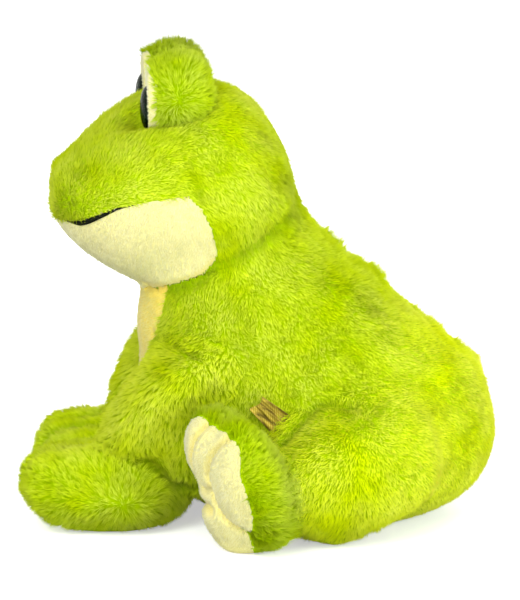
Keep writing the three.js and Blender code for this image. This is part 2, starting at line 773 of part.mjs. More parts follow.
for (const [word, side] of [["left", 1], ["right", -1]]) {
  const parts = eyeGroup(side);
  put(headBody, `eye_hood_${word}`, parts.hoodCloth, "lime");
  put(headBody, `eye_white_${word}`, parts.white, "cream");
  put(headBody, `eye_${word}`, parts.eyeBack, "iris");
  put(headBody, `eye_pupil_${word}`, parts.pupilSolid, "pupil");
  put(headBody, `eye_lens_${word}`, parts.lensSolid, "lens");
  put(headBody, `eye_washer_${word}`, parts.washerSolid, "washer");

  const pose = pawPoseShare[word];
  const shoulderAt = shoulderJoint(side);
  const swing = axisX.clone().negate();
  const armClear = swept(torsoGrown, shoulderAt, swing, shoulderTurn);
  const armOuter = armForm(side, pose, plain, 0, fingerShares, coarse);
  const armInner = armForm(side, pose, lining, -cloth.thickness, palmShares, lining);
  const armFill = armForm(side, pose, lining, fillGrow, palmShares, lining);
  const armBody = bodyAt(`arm_${word}`, shoulderAt, frog);
  put(armBody, `arm_skin_${word}`, armOuter.subtract(armInner).subtract(armClear), "lime");
  put(armBody, `arm_filling_${word}`, armFill.subtract(armClear), "fibre");

  const hipAt = hipJoint(side);
  const besideLeg = side > 0 ? torsoGrown.add(tagRoom) : torsoGrown;
  const legClear = swept(besideLeg, hipAt, swing, hipTurn);
  const legOuter = legForm(side, plain, 0);
  const legInner = legForm(side, lining, -cloth.thickness);
  const legFill = legForm(side, lining, fillGrow);
  const legBody = bodyAt(`leg_${word}`, hipAt, frog);
  put(legBody, `leg_skin_${word}`, legOuter.subtract(legInner).subtract(legClear), "lime");
  put(legBody, `leg_filling_${word}`, legFill.subtract(legClear), "fibre");

  const ankleAt = ankleJoint(side);
  const tip = footAxes(side).across.clone().multiplyScalar(side);
  const footClear = swept(legForm(side, plain, 2 * cloth.seam), ankleAt, tip, ankleTurn);
  const core = [footCoreShares];
  const footOuter = footForm(side, coarse, 0, footLobeShares).subtract(footClear);
  const footInner = footForm(side, lining, -cloth.thickness, core);
  const footFill = footForm(side, lining, fillGrow, core).subtract(footClear);
  const footShell = footOuter.subtract(footInner);
  const footBody = bodyAt(`foot_${word}`, ankleAt, legBody);
  put(footBody, `foot_skin_${word}`, footShell.subtract(soleRegion(side, cloth.seam)), "lime");
  put(footBody, `foot_sole_${word}`, footShell.intersect(soleRegion(side, 0)), "cream");
  put(footBody, `foot_filling_${word}`, footFill, "fibre");
}

// The origin is under the middle of the toy, on the floor.
const reach = new THREE.Box3().setFromObject(frog);
const centre = reach.getCenter(new THREE.Vector3());
frog.position.set(-centre.x, -centre.y, -reach.min.z);

export default frog;
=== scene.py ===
"""The dressed look of a sitting plush frog: pile cloth, plastic eyes, a ribbon and a plain studio.

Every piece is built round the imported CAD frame, in metres, +Z up, the frog looking along -Y.
"""

import json
import logging
import math
from collections.abc import Callable, Sequence
from dataclasses import dataclass, field
from enum import Enum

import bpy
import numpy as np
from mathutils import Euler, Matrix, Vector
from mathutils.bvhtree import BVHTree


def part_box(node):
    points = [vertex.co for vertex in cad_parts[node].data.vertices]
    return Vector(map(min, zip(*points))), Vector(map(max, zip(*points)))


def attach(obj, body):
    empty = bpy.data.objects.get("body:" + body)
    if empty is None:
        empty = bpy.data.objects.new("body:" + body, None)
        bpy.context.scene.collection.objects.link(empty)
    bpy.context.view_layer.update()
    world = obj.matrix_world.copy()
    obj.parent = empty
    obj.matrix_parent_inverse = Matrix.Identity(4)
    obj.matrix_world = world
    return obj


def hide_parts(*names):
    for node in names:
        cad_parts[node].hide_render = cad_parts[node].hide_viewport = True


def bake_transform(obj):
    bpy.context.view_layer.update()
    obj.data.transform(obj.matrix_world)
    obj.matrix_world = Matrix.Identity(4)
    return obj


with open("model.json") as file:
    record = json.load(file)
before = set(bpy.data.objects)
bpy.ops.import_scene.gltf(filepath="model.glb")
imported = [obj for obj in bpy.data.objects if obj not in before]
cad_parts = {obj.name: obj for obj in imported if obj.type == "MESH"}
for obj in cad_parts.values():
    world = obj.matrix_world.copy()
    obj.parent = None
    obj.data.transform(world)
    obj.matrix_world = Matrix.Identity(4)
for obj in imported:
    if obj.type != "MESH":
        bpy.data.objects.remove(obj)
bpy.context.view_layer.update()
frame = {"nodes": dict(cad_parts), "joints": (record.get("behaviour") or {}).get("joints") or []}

log = logging.getLogger("plush_frog")

MM = 0.001
Points = np.ndarray
Flow = Callable[[Points, Points], Points]
Measure = Callable[[Points], np.ndarray]
Colour = tuple[float, float, float, float]
Socket = bpy.types.NodeSocket
Input = Socket | float | Sequence[float]

BLACK: Colour = (0.0, 0.0, 0.0, 1.0)
WHITE: Colour = (1.0, 1.0, 1.0, 1.0)


class Side(Enum):
    """The two sides of the toy, by the sign of X."""

    LEFT = 1
    RIGHT = -1

    @property
    def word(self) -> str:
        """The side's name as it ends a node's name."""
        return self.name.lower()


class Nap(Enum):
    """Which way a cloth's pile was brushed, as a share of its length that stands up."""

    SLEEK = 0.45
    SOFT = 0.62
    FLUFFY = 0.8


# Numbers over a surface.


class Drift:
    """A smooth random field over space, the same at each run."""

    origin = 1000.0
    scatter = 0.48

    def __init__(self, grain: float, seed: int, cells: int = 32) -> None:
        """Fills the field.

        Args:
            grain: the distance in metres over which it changes.
            seed: picks one of many fields.
            cells: how far it runs before it repeats.
        """
        self.grain = grain
        self.cells = cells
        self.table = np.random.default_rng(seed).uniform(-1, 1, (cells, cells, cells, 3))

    def gathered(self, points: Points) -> tuple[Points, np.ndarray]:
        """The nearest of many scattered centres to each point.

        Args:
            points: places in metres, one row each.

        Returns:
            The way to the nearest centre, and a value from -1 to 1 that all its points share.
        """
        place = points / self.grain + self.origin
        low = np.floor(place).astype(int)
        nearest = np.full(len(points), np.inf)
        way, mark = np.zeros((len(points), 3)), np.zeros(len(points))
        for corner in np.ndindex(3, 3, 3):
            cell = low + np.array(corner) - 1
            drawn = self.table[tuple((cell % self.cells).T)]
            gap = cell + 0.5 + self.scatter * drawn - place
            distance = np.sum(gap * gap, axis=1)
            closer = distance < nearest
            nearest = np.where(closer, distance, nearest)
            way[closer], mark[closer] = gap[closer], drawn[closer, 0]
        return way * self.grain, mark

    def at(self, points: Points) -> Points:
        """Three values from -1 to 1 for each point.

        Args:
            points: places in metres, one row each.

        Returns:
            One row of three values for each place.
        """
        place = points / self.grain + self.origin
        low = np.floor(place).astype(int)
        part = place - low
        part = part * part * (3 - 2 * part)
        total = np.zeros((len(points), 3))
        for corner in np.ndindex(2, 2, 2):
            share = np.prod(np.where(corner, part, 1 - part), axis=1)
            i, j, k = ((low + corner) % self.cells).T
            total += share[:, None] * self.table[i, j, k]
        return total


def unit(vectors: Points) -> Points:
    """Each row at length one."""
    return vectors / np.maximum(np.linalg.norm(vectors, axis=1, keepdims=True), 1e-9)


def along_surface(direction: Points, normals: Points) -> Points:
    """Each direction laid flat on the surface that the normal belongs to."""
    return direction - normals * np.sum(direction * normals, axis=1, keepdims=True)


def eased(value: np.ndarray, low: float, high: float) -> np.ndarray:
    """From 0 at low to 1 at high, with soft ends."""
    t = np.clip((value - low) / (high - low), 0, 1)
    return t * t * (3 - 2 * t)


@dataclass
class Skin:
    """A surface of corners and faces, mostly quads, with what is known at each corner."""

    corners: Points
    faces: np.ndarray

    @property
    def triangles(self) -> np.ndarray:
        """The faces as triangles.

        Returns:
            Three corner numbers for each.
        """
        if self.faces.shape[1] == 3:
            return self.faces
        return np.vstack([self.faces[:, [0, 1, 2]], self.faces[:, [0, 2, 3]]])

    def normals(self) -> Points:
        """The normal at each corner, from the faces round it.

        Returns:
            One row for each corner.
        """
        a, b, c = (self.corners[self.triangles[:, i]] for i in range(3))
        across = np.cross(b - a, c - a)
        total = np.zeros_like(self.corners)
        for i in range(3):
            for axis in range(3):
                total[:, axis] += np.bincount(
                    self.triangles[:, i], across[:, axis], len(self.corners)
                )
        return unit(total)

    def sides(self) -> np.ndarray:
        """Each side of each face, as the two corners that it joins."""
        count = self.faces.shape[1]
        return np.vstack([self.faces[:, [i, (i + 1) % count]] for i in range(count)])

    def edges(self) -> np.ndarray:
        """Each edge once."""
        return np.unique(np.sort(self.sides(), axis=1), axis=0)

    def relaxed(self, rounds: int, pull: float = 0.5, push: float = -0.52) -> "Skin":
        """The same faces with their corners evened out, without losing volume.

        Args:
            rounds: how many times each corner moves towards its neighbours and back.
            pull: the share of the way towards them.
            push: the share of the way back.

        Returns:
            The smoother surface.
        """
        joined = Neighbours(self)
        corners = self.corners.copy()
        for step in [pull, push] * rounds:
            corners += step * joined.way_to_middle(corners)
        return Skin(corners, self.faces)

    def filled(self, weight: np.ndarray, rounds: int, pull: float = 0.8) -> "Skin":
        """Creases filled from below, as packed stuffing fills them.

        Args:
            weight: from 0, left alone, to 1, at each corner.
            rounds: how many times each corner rises towards its neighbours.
            pull: the share of the way towards them.

        Returns:
            The fuller surface.
        """
        joined = Neighbours(self)
        made = Skin(self.corners.copy(), self.faces)
        rounds_per_look = 12
        for turn in range(rounds):
            if turn % rounds_per_look == 0:
                normals = made.normals()
            step = joined.way_to_middle(made.corners)
            rise = np.sum(step * normals, axis=1, keepdims=True)
            step -= normals * np.minimum(rise, 0)
            made.corners += pull * weight[:, None] * step
        return made

    def seamed(self, side: np.ndarray) -> np.ndarray:
        """Moves corners onto the line where a value is zero, so that a panel's edge is smooth.

        Args:
            side: the value at each corner, which changes sign at the seam.

        Returns:
            For each face, whether it is on the side above zero.
        """
        edges = self.edges()
        first, second = side[edges[:, 0]], side[edges[:, 1]]
        cross = edges[(first * second) < 0]
        a, b = side[cross[:, 0]], side[cross[:, 1]]
        share = a / (a - b)
        start, end = self.corners[cross[:, 0]], self.corners[cross[:, 1]]
        place = start * (1 - share[:, None]) + end * share[:, None]
        mover = np.where(share < 0.5, cross[:, 0], cross[:, 1])
        times = np.bincount(mover, minlength=len(side))
        for axis in range(3):
            total = np.bincount(mover, place[:, axis], len(side))
            self.corners[:, axis] = np.where(
                times > 0, total / np.maximum(times, 1), self.corners[:, axis]
            )
        settled = np.where(times > 0, 0.0, side)
        return settled[self.faces].sum(axis=1) > 0

    def moved(self, distance: np.ndarray | float) -> "Skin":
        """The surface moved out along its normals by a distance at each corner."""
        reach = np.broadcast_to(distance, (len(self.corners),))[:, None]
        return Skin(self.corners + self.normals() * reach, self.faces)

    def only(self, chosen: np.ndarray) -> "Skin":
        """A part of the surface, with the corners that it uses.

        Args:
            chosen: for each face, whether it is kept.

        Returns:
            The part.
        """
        faces = self.faces[chosen]
        used, renumbered = np.unique(faces, return_inverse=True)
        return Skin(self.corners[used], renumbered.reshape(faces.shape))

    def largest(self) -> "Skin":
        """The largest connected part, without the closed pockets inside it.

        Returns:
            The part.
        """
        label = np.arange(len(self.corners))
        edges = self.edges()
        while True:
            low = np.minimum(label[edges[:, 0]], label[edges[:, 1]])
            before = label.copy()
            np.minimum.at(label, edges[:, 0], low)
            np.minimum.at(label, edges[:, 1], low)
            label = label[label]
            if np.array_equal(before, label):
                break
        main = np.bincount(label).argmax()
        return self.only(label[self.faces[:, 0]] == main)

    def middles(self) -> Points:
        """The middle of each face."""
        return self.corners[self.faces].mean(axis=1)

    def tree(self) -> BVHTree:
        """The surface for finding the nearest point and casting rays."""
        return BVHTree.FromPolygons(self.corners.tolist(), self.faces.tolist())

    def lined(self, thickness: float) -> "Skin":
        """The surface as a closed cloth, with an inner wall and a hem round each opening.

        Args:
            thickness: how far in the inner wall lies.

        Returns:
            The closed cloth.
        """
        inner = self.corners - self.normals() * thickness
        shift = len(self.corners)
        pairs = self.sides()
        _, place, times = np.unique(
            np.sort(pairs, axis=1), axis=0, return_index=True, return_counts=True
        )
        start, end = pairs[place[times == 1]].T
        if not len(start):
            return self
        hem = np.column_stack([end, start, start + shift, end + shift])
        faces = np.vstack([self.faces, self.faces[:, ::-1] + shift, hem])
        return Skin(np.vstack([self.corners, inner]), faces)


class Neighbours:
    """Which corners of a surface are joined by an edge."""

    def __init__(self, skin: Skin) -> None:
        """Notes the edges of one surface.

        Args:
            skin: the surface.
        """
        self.edges = skin.edges()
        times = np.bincount(self.edges.ravel(), minlength=len(skin.corners))
        self.times = np.maximum(times, 1)[:, None]

    def way_to_middle(self, corners: Points) -> Points:
        """The way from each corner to the middle of its neighbours.

        Args:
            corners: where the surface's corners are now.

        Returns:
            One row for each corner.
        """
        first, second = self.edges.T
        total = np.zeros_like(corners)
        for axis in range(3):
            total[:, axis] = np.bincount(first, corners[second, axis], len(corners))
            total[:, axis] += np.bincount(second, corners[first, axis], len(corners))
        return total / self.times - corners


def in_scene(name: str, data: bpy.types.ID) -> bpy.types.Object:
    """A new object in the scene.

    Args:
        name: the object's name.
        data: its mesh, camera or lamp.

    Returns:
        The object.
    """
    made = bpy.data.objects.new(name, data)
    bpy.context.collection.objects.link(made)
    return made


def plain_mesh(name: str, corners: Points, faces: Sequence[np.ndarray]) -> bpy.types.Mesh:
    """A mesh from corners and groups of faces, each group with its own count of sides.

    Args:
        name: the mesh's name.
        corners: places in metres.
        faces: arrays of corner numbers, such as one of quads and one of triangles.

    Returns:
        The mesh.
    """
    mesh = bpy.data.meshes.new(name)
    groups = [group for group in faces if len(group)]
    sides = np.concatenate([np.full(len(group), group.shape[1]) for group in groups])
    loops = np.concatenate([group.ravel() for group in groups]).astype(np.int32)
    mesh.vertices.add(len(corners))
    mesh.vertices.foreach_set("co", np.asarray(corners, np.float32).ravel())
    mesh.loops.add(len(loops))
    mesh.loops.foreach_set("vertex_index", loops)
    mesh.polygons.add(len(sides))
    starts = np.concatenate([[0], np.cumsum(sides)[:-1]]).astype(np.int32)
    mesh.polygons.foreach_set("loop_start", starts)
    mesh.update(calc_edges=True)
    mesh.validate()
    mesh.polygons.foreach_set("use_smooth", np.ones(len(mesh.polygons), bool))
    return mesh


def curve_through(knots: np.ndarray, share: np.ndarray) -> np.ndarray:
    """A smooth curve through rows of numbers, the one that the CAD's forms follow.

    Args:
        knots: the rows that it passes through.
        share: places along it, from 0 to 1.

    Returns:
        One row for each place.
    """
    place = np.clip(share, 0, 1) * (len(knots) - 1)
    low = np.minimum(place.astype(int), len(knots) - 2)
    t = (place - low)[:, None]
    padded = np.vstack([2 * knots[0] - knots[1], knots, 2 * knots[-1] - knots[-2]])
    a, b, c, d = (padded[low + i] for i in range(4))
    bend = (2 * a - 5 * b + 4 * c - d) * t**2 + (3 * b - a - 3 * c + d) * t**3
    return b + 0.5 * ((c - a) * t + bend)


def tube_faces(steps: int, sides: int) -> np.ndarray:
    """Quads along a tube whose corners are numbered ring by ring.

    Args:
        steps: how many bands the tube has, one fewer than its rings.
        sides: how many corners each ring has.

    Returns:
        Four corner numbers for each quad.
    """
    start = np.arange(steps)[:, None] * sides
    first, after = start + np.arange(sides), start + (np.arange(sides) + 1) % sides
    return np.stack([first, after, after + sides, first + sides], axis=-1).reshape(-1, 4)


def tube_mesh(name: str, rings: Sequence[Points]) -> bpy.types.Mesh:
    """A tube through rings of corners, closed at both ends.

    Args:
        name: the mesh's name.
        rings: the corners of each ring in turn.

    Returns:
        The mesh.
    """
    bands, sides = len(rings) - 1, len(rings[0])
    rim = np.arange(sides)[None]
    ends = [rim[:, ::-1], bands * sides + rim]
    return plain_mesh(name, np.vstack(rings), [tube_faces(bands, sides), *ends])


def loft(rings: Sequence[Sequence[float]], across: Points, up: Points) -> Skin:
    """A stuffed form through rings, smooth both ways.

    Args:
        rings: each ring's middle (x, y, z), then its reach to both sides, up and down.
        across: the way that the side reach is measured.
        up: the way that the other two are.

    Returns:
        The form, as triangles.
    """
    steps, sides = 64, 56
    row = curve_through(np.array(rings, float), np.linspace(0, 1, steps + 1))
    angle = np.arange(sides) * 2 * math.pi / sides
    reach = np.maximum(row[:, 3:], 0)
    height = np.where(np.sin(angle) > 0, reach[:, 1:2], reach[:, 2:3]) * np.sin(angle)
    side = reach[:, :1] * np.cos(angle)
    corners = row[:, None, :3] + side[..., None] * across + height[..., None] * up
    quads = tube_faces(steps, sides)
    ends = len(corners) * sides
    rim = np.arange(sides)
    beside = (rim + 1) % sides
    top = steps * sides
    caps = [
        np.column_stack([np.full(sides, ends), beside, rim]),
        np.column_stack([np.full(sides, ends + 1), top + rim, top + beside]),
    ]
    places = np.vstack([corners.reshape(-1, 3), row[[0, -1], :3]])
    return turned_out(Skin(places, np.vstack([Skin(places, quads).triangles, *caps])))


def ball(middle: Points, half: Points, axes: Points) -> Skin:
    """A smooth ball.

    Args:
        middle: its middle.
        half: its half size along each axis.
        axes: three axes at right angles.

    Returns:
        The ball, as triangles.
    """
    across, up, through = axes
    rings = []
    for angle in np.linspace(0, math.pi, 13):
        place = middle - through * half[2] * math.cos(angle)
        wide = math.sin(angle) if 0 < angle < math.pi else 0.0
        rings.append((*place, half[0] * wide, half[1] * wide, half[1] * wide))
    return loft(rings, across, up)


def turned_out(skin: Skin) -> Skin:
    """A closed form with its faces looking outwards.

    Args:
        skin: the form, as triangles.

    Returns:
        The form, turned inside out if its faces looked inwards.
    """
    a, b, c = (skin.corners[skin.faces[:, i]] for i in range(3))
    if np.sum(a * np.cross(b, c)) < 0:
        return Skin(skin.corners, skin.faces[:, ::-1])
    return skin


def together(skins: Sequence[Skin]) -> Skin:
    """Several forms as one set of faces.

    Args:
        skins: the forms, all of triangles or all of quads.

    Returns:
        The set.
    """
    shifts = np.cumsum([0] + [len(skin.corners) for skin in skins])
    faces = [skin.faces + shift for skin, shift in zip(skins, shifts)]
    return Skin(np.vstack([skin.corners for skin in skins]), np.vstack(faces))


def remeshed(source: Skin, grain: float) -> Skin:
    """One even outer surface round forms that overlap.

    Args:
        source: closed forms.
        grain: the size of the new faces.

    Returns:
        The surface, in quads.
    """
    mesh = plain_mesh("form", source.corners, [source.faces])
    holder = in_scene("form", mesh)
    remesh = holder.modifiers.new("form", "REMESH")
    remesh.mode = "VOXEL"
    remesh.voxel_size = grain
    graph = bpy.context.evaluated_depsgraph_get()
    made = bpy.data.meshes.new_from_object(holder.evaluated_get(graph))
    corners = np.empty(len(made.vertices) * 3)
    made.vertices.foreach_get("co", corners)
    faces = np.empty(len(made.loops), int)
    made.loops.foreach_get("vertex_index", faces)
    bpy.data.objects.remove(holder)
    bpy.data.meshes.remove(made)
    bpy.data.meshes.remove(mesh)
    return Skin(corners.reshape(-1, 3), faces.reshape(-1, 4)).largest()


def distance_to(points: Points, skin: Skin, far: float = 40 * MM) -> np.ndarray:
    """How far each point lies outside a closed form, and below zero inside it.

    Args:
        points: places in metres.
        skin: the form.
        far: the distance that is given for all points further off.

    Returns:
        One distance for each point.
    """
    tree = skin.tree()
    result = np.full(len(points), far)
    low, high = skin.corners.min(0) - far, skin.corners.max(0) + far
    for i in np.flatnonzero(np.all((points > low) & (points < high), axis=1)):
        place, normal, _, distance = tree.find_nearest(Vector(points[i]), far)
        if place is not None:
            inside = (Vector(points[i]) - place).dot(normal) < 0
            result[i] = -distance if inside else distance
    return result


# Finishes.


def shader_group(
    name: str, inputs: dict[str, tuple], outputs: dict[str, str]
) -> bpy.types.NodeTree:
    """An empty shader node group with named sockets.

    Args:
        name: the group's name.
        inputs: each input's kind and first value.
        outputs: each output's kind.

    Returns:
        The group, with its input and output nodes in place.
    """
    group = bpy.data.node_groups.new(name, "ShaderNodeTree")
    for label, (kind, value) in inputs.items():
        socket = group.interface.new_socket(label, in_out="INPUT", socket_type=kind)
        socket.default_value = value
    for label, kind in outputs.items():
        group.interface.new_socket(label, in_out="OUTPUT", socket_type=kind)
    group.nodes.new("NodeGroupInput").name = "given"
    group.nodes.new("NodeGroupOutput").name = "result"
    return group


class Wiring:
    """Short words for placing nodes in a tree and joining them."""

    def __init__(self, tree: bpy.types.NodeTree) -> None:
        """Works on one tree.

        Args:
            tree: the node tree of a material, a group or a world.
        """
        self.tree = tree

    def node(self, kind: str, settings: dict | None = None, **inputs: Input) -> bpy.types.Node:
        """A new node.

        Args:
            kind: the node's type name, without the words that all shader nodes start with.
            settings: its own settings.
            **inputs: a value or a socket for each input, with spaces as underscores.

        Returns:
            The node.
        """
        made = self.tree.nodes.new(f"ShaderNode{kind}")
        for name, value in (settings or {}).items():
            setattr(made, name, value)
        self.fill(made, **inputs)
        return made

    def fill(self, node: bpy.types.Node, **inputs: Input) -> None:
        """Sets several inputs of a node.

        Args:
            node: the node.
            **inputs: a value or a socket for each input, with spaces as underscores.
        """
        for name, value in inputs.items():
            self.set(node, name.replace("_", " "), value)

    def set(self, node: bpy.types.Node, name: str | int, value: Input) -> None:
        """Gives an input a value, or joins a socket to it.

        Args:
            node: the node.
            name: the input's name or number.
            value: the value or the socket.
        """
        socket = node.inputs[name]
        if isinstance(value, bpy.types.NodeSocket):
            self.tree.links.new(value, socket)
        else:
            socket.default_value = value

    def math(self, operation: str, first: Input, second: Input, clamp: bool = False) -> Socket:
        """The result of a sum on two values.

        Args:
            operation: the sum's name in Blender.
            first: a value or a socket.
            second: another.
            clamp: whether the result is kept between 0 and 1.

        Returns:
            The result's socket.
        """
        made = self.node("Math", {"operation": operation, "use_clamp": clamp})
        self.set(made, 0, first)
        self.set(made, 1, second)
        return made.outputs[0]

    def scaled(self, value: Input, factor: float, plus: float) -> Socket:
        """A value times a factor, plus a number."""
        return self.math("ADD", self.math("MULTIPLY", value, factor), plus)

    def mix(self, share: Input, first: Input, second: Input) -> Socket:
        """Two colours mixed.

        Args:
            share: the second one's share.
            first: a colour or a socket.
            second: another.

        Returns:
            The mixed colour's socket.
        """
        made = self.node("Mix", {"data_type": "RGBA"})
        for number, value in ((0, share), (6, first), (7, second)):
            self.set(made, number, value)
        return made.outputs[2]

    def noise(self, scale: float, detail: float = 2.0, place: Socket | None = None) -> Socket:
        """Noise from 0 to 1.

        Args:
            scale: how fine it is, in waves for each metre.
            detail: how many finer layers it has.
            place: where it is read, in the piece's own space if nothing is given.

        Returns:
            The noise's socket.
        """
        if place is None:
            place = self.node("TexCoord").outputs["Object"]
        return self.node("TexNoise", Vector=place, Scale=scale, Detail=detail).outputs["Fac"]

    def spread(self, value: Input, low: float, high: float) -> Socket:
        """A value's range from low to high stretched over 0 to 1."""
        return self.node("MapRange", Value=value, From_Min=low, From_Max=high).outputs[0]

    def measured(self, label: str) -> Socket:
        """A number that a mesh holds at each of its corners."""
        return self.node("Attribute", {"attribute_name": label}).outputs["Fac"]

    def seen_directly(self) -> Socket:
        """1 for rays from the camera, from gloss and through glass, and 0 for light on the toy.

        Returns:
            The number's socket.
        """
        rays = self.node("LightPath").outputs
        seen = self.math("MAXIMUM", rays["Is Camera Ray"], rays["Is Glossy Ray"])
        return self.math("MAXIMUM", seen, rays["Is Transmission Ray"])


def linear(code: str) -> Colour:
    """A screen colour as Blender's linear colour.

    Args:
        code: six digits such as "b8d90a".

    Returns:
        Red, green, blue and 1.
    """
    parts = [int(code[i : i + 2], 16) / 255 for i in (0, 2, 4)]
    light = [p / 12.92 if p <= 0.04045 else ((p + 0.055) / 1.055) ** 2.4 for p in parts]
    return (*light, 1.0)


def pile_group() -> bpy.types.NodeTree:
    """The colour of brushed pile: painted shade at its roots and in folds, painted highlights pale
    at its tips, in patches.

    Returns:
        The group, made once.
    """
    found = bpy.data.node_groups.get("brushed_pile")
    if found:
        return found
    colours = ("Root", "Body", "Tip", "Pale", "Fold")
    group = shader_group(
        "brushed_pile",
        {**{label: ("NodeSocketColor", BLACK) for label in colours},
         "Patchiness": ("NodeSocketFloat", 0.5)},
        {"Colour": "NodeSocketColor"},
    )
    wire = Wiring(group)
    given, result = group.nodes["given"].outputs, group.nodes["result"]
    height = wire.measured("pile_height")
    patches = wire.spread(wire.noise(34.0, 3.0), 0.36, 0.66)
    locks = wire.spread(wire.noise(210.0), 0.3, 0.72)
    # Root and Tip are painted light: painted shade deep in the pile, painted highlights at the
    # tips.
    low = wire.mix(wire.spread(height, 0.0, 0.5), given["Root"], given["Body"])
    high = wire.mix(wire.spread(height, 0.45, 1.0), low, given["Tip"])
    # The pale patches are painted highlights, laid at random towards the tips.
    brushed = wire.math("MULTIPLY", patches, given["Patchiness"])
    brushed = wire.math("MULTIPLY", brushed, wire.spread(height, 0.2, 0.9), clamp=True)
    pale = wire.mix(brushed, high, given["Pale"])
    # Painted shade in creases: the Fold colour where pile_fold is high.
    colour_with_painted_light = wire.mix(wire.measured("pile_fold"), pale, given["Fold"])
    # pile_tone holds random tones plus painted light: whole panels painted paler, or darker with
    # painted shade.
    tone_plus_painted_light = wire.math("MULTIPLY", wire.measured("pile_tone"), 0.6)
    varied = wire.math("ADD", tone_plus_painted_light, wire.math("MULTIPLY", locks, 0.4))
    shade = wire.node(
        "HueSaturation", Color=colour_with_painted_light, Value=wire.scaled(varied, factor=0.24, plus=0.88),
        Hue=wire.scaled(varied, factor=-0.012, plus=0.506),
    )
    wire.set(result, "Colour", shade.outputs[0])
    return group


@dataclass(frozen=True)
class Finish:
    """What a piece is made of: its material's name and the slot that it stands for."""

    name: str
    slot: str

    def dress(self, wire: Wiring, shader: bpy.types.Node) -> None:
        """Sets up the surface of a new material.

        Args:
            wire: the material's tree.
            shader: its shader.
        """
        raise NotImplementedError

    def material(self) -> bpy.types.Material:
        """The finish as a material, made once.

        Returns:
            The material.
        """
        made = bpy.data.materials.get(self.name)
        if made is None:
            made = bpy.data.materials.new(self.name)
            made.use_nodes = True
            self.dress(Wiring(made.node_tree), made.node_tree.nodes["Principled BSDF"])
        return made


@dataclass(frozen=True)
class PileFinish(Finish):
    """Dyed pile cloth: its colours from root to tip, with painted shade at the roots and painted
    highlights at the tips, and how it takes light.
    """

    # root is painted shade; tip and pale are painted highlights.
    root: str
    body: str
    tip: str
    pale: str
    # fold is painted shade in creases.
    fold: str
    patchiness: float = 0.5
    sheen: float = 0.2
    sheen_tint: str = "ffffff"

    def dress(self, wire: Wiring, shader: bpy.types.Node) -> None:
        """Sets up the surface of a new material.

        Args:
            wire: the material's tree.
            shader: its shader.
        """
        pile = wire.node("Group", {"node_tree": pile_group()}, Patchiness=self.patchiness)
        for label in ("Root", "Body", "Tip", "Pale", "Fold"):
            wire.set(pile, label, linear(getattr(self, label.lower())))
        rough = wire.spread(wire.noise(400.0), -0.5, 0.9)
        wire.fill(
            shader, Base_Color=pile.outputs["Colour"],
            Roughness=wire.scaled(rough, factor=0.2, plus=0.72), IOR=1.0,
            Sheen_Weight=self.sheen, Sheen_Roughness=0.4, Sheen_Tint=linear(self.sheen_tint),
        )


@dataclass(frozen=True)
class FeltFinish(Finish):
    """Close felt or knit: one dye with fibres that catch the light."""

    dye: str
    fibre: str
    grain: float = 900.0

    def dress(self, wire: Wiring, shader: bpy.types.Node) -> None:
        """Sets up the surface of a new material.

        Args:
            wire: the material's tree.
            shader: its shader.
        """
        fibres = wire.spread(wire.noise(self.grain, 4.0), 0.4, 0.7)
        bump = wire.node("Bump", Height=fibres, Strength=0.6, Distance=0.6 * MM)
        wire.fill(
            shader, Base_Color=wire.mix(fibres, linear(self.dye), linear(self.fibre)),
            Roughness=wire.scaled(fibres, factor=0.1, plus=0.85), IOR=1.0, Normal=bump.outputs[0],
        )


@dataclass(frozen=True)
class PlasticFinish(Finish):
    """Moulded plastic with faint flow marks."""

    dye: str
    shade: str
    roughness: float
    coat: float = 0.0
    clear: float = 0.0
    bending: float = 1.45
    shine: float = 0.5

    def dress(self, wire: Wiring, shader: bpy.types.Node) -> None:
        """Sets up the surface of a new material.

        Args:
            wire: the material's tree.
            shader: its shader.
        """
        flow = wire.spread(wire.noise(160.0, 3.0), 0.35, 0.7)
        wire.fill(
            shader, Base_Color=wire.mix(flow, linear(self.dye), linear(self.shade)),
            Roughness=wire.scaled(wire.noise(500.0), factor=0.05, plus=self.roughness),
            Coat_Weight=self.coat, Coat_Roughness=0.04, Transmission_Weight=self.clear,
            IOR=self.bending, Specular_IOR_Level=self.shine,
        )


@dataclass(frozen=True)
class RibbonFinish(Finish):
    """Woven metallic ribbon: fine threads both ways, with painted shade along its crinkles and
    painted highlights on the creases.
    """

    thread: str
    # A painted highlight and a painted shade beside the thread's own colour.
    bright: str
    dark: str
    tilt: float

    def dress(self, wire: Wiring, shader: bpy.types.Node) -> None:
        """Sets up the surface of a new material.

        Args:
            wire: the material's tree.
            shader: its shader.
        """
        place = wire.node("TexCoord").outputs["Object"]
        along = wire.node(
            "Mapping", {"vector_type": "TEXTURE"}, Vector=place,
            Rotation=(self.tilt, 0.0, 0.0), Scale=(1.0, 1.0, 7.0),
        ).outputs[0]
        warp, weft = (
            wire.node("TexWave", {"bands_direction": way}, Vector=place, Scale=scale,
                      Distortion=wobble).outputs["Fac"]
            for way, scale, wobble in (("Y", 260.0, 1.5), ("Z", 420.0, 1.0))
        )
        weave = wire.math("MULTIPLY", warp, weft)
        # Painted light along the crinkles: painted shade in lines along the ribbon, painted
        # highlights where they cross the weave.
        painted_crinkle_light = wire.spread(wire.noise(420.0, 3.0, along), 0.38, 0.62)
        colour = wire.mix(painted_crinkle_light, linear(self.dark), linear(self.thread))
        colour = wire.mix(wire.math("MULTIPLY", weave, painted_crinkle_light), colour, linear(self.bright))
        bump = wire.node("Bump", Height=weave, Strength=0.5, Distance=0.3 * MM)
        wire.fill(
            shader, Base_Color=colour, Specular_IOR_Level=0.12, Normal=bump.outputs[0],
            Roughness=wire.scaled(weave, factor=0.2, plus=0.45),
        )


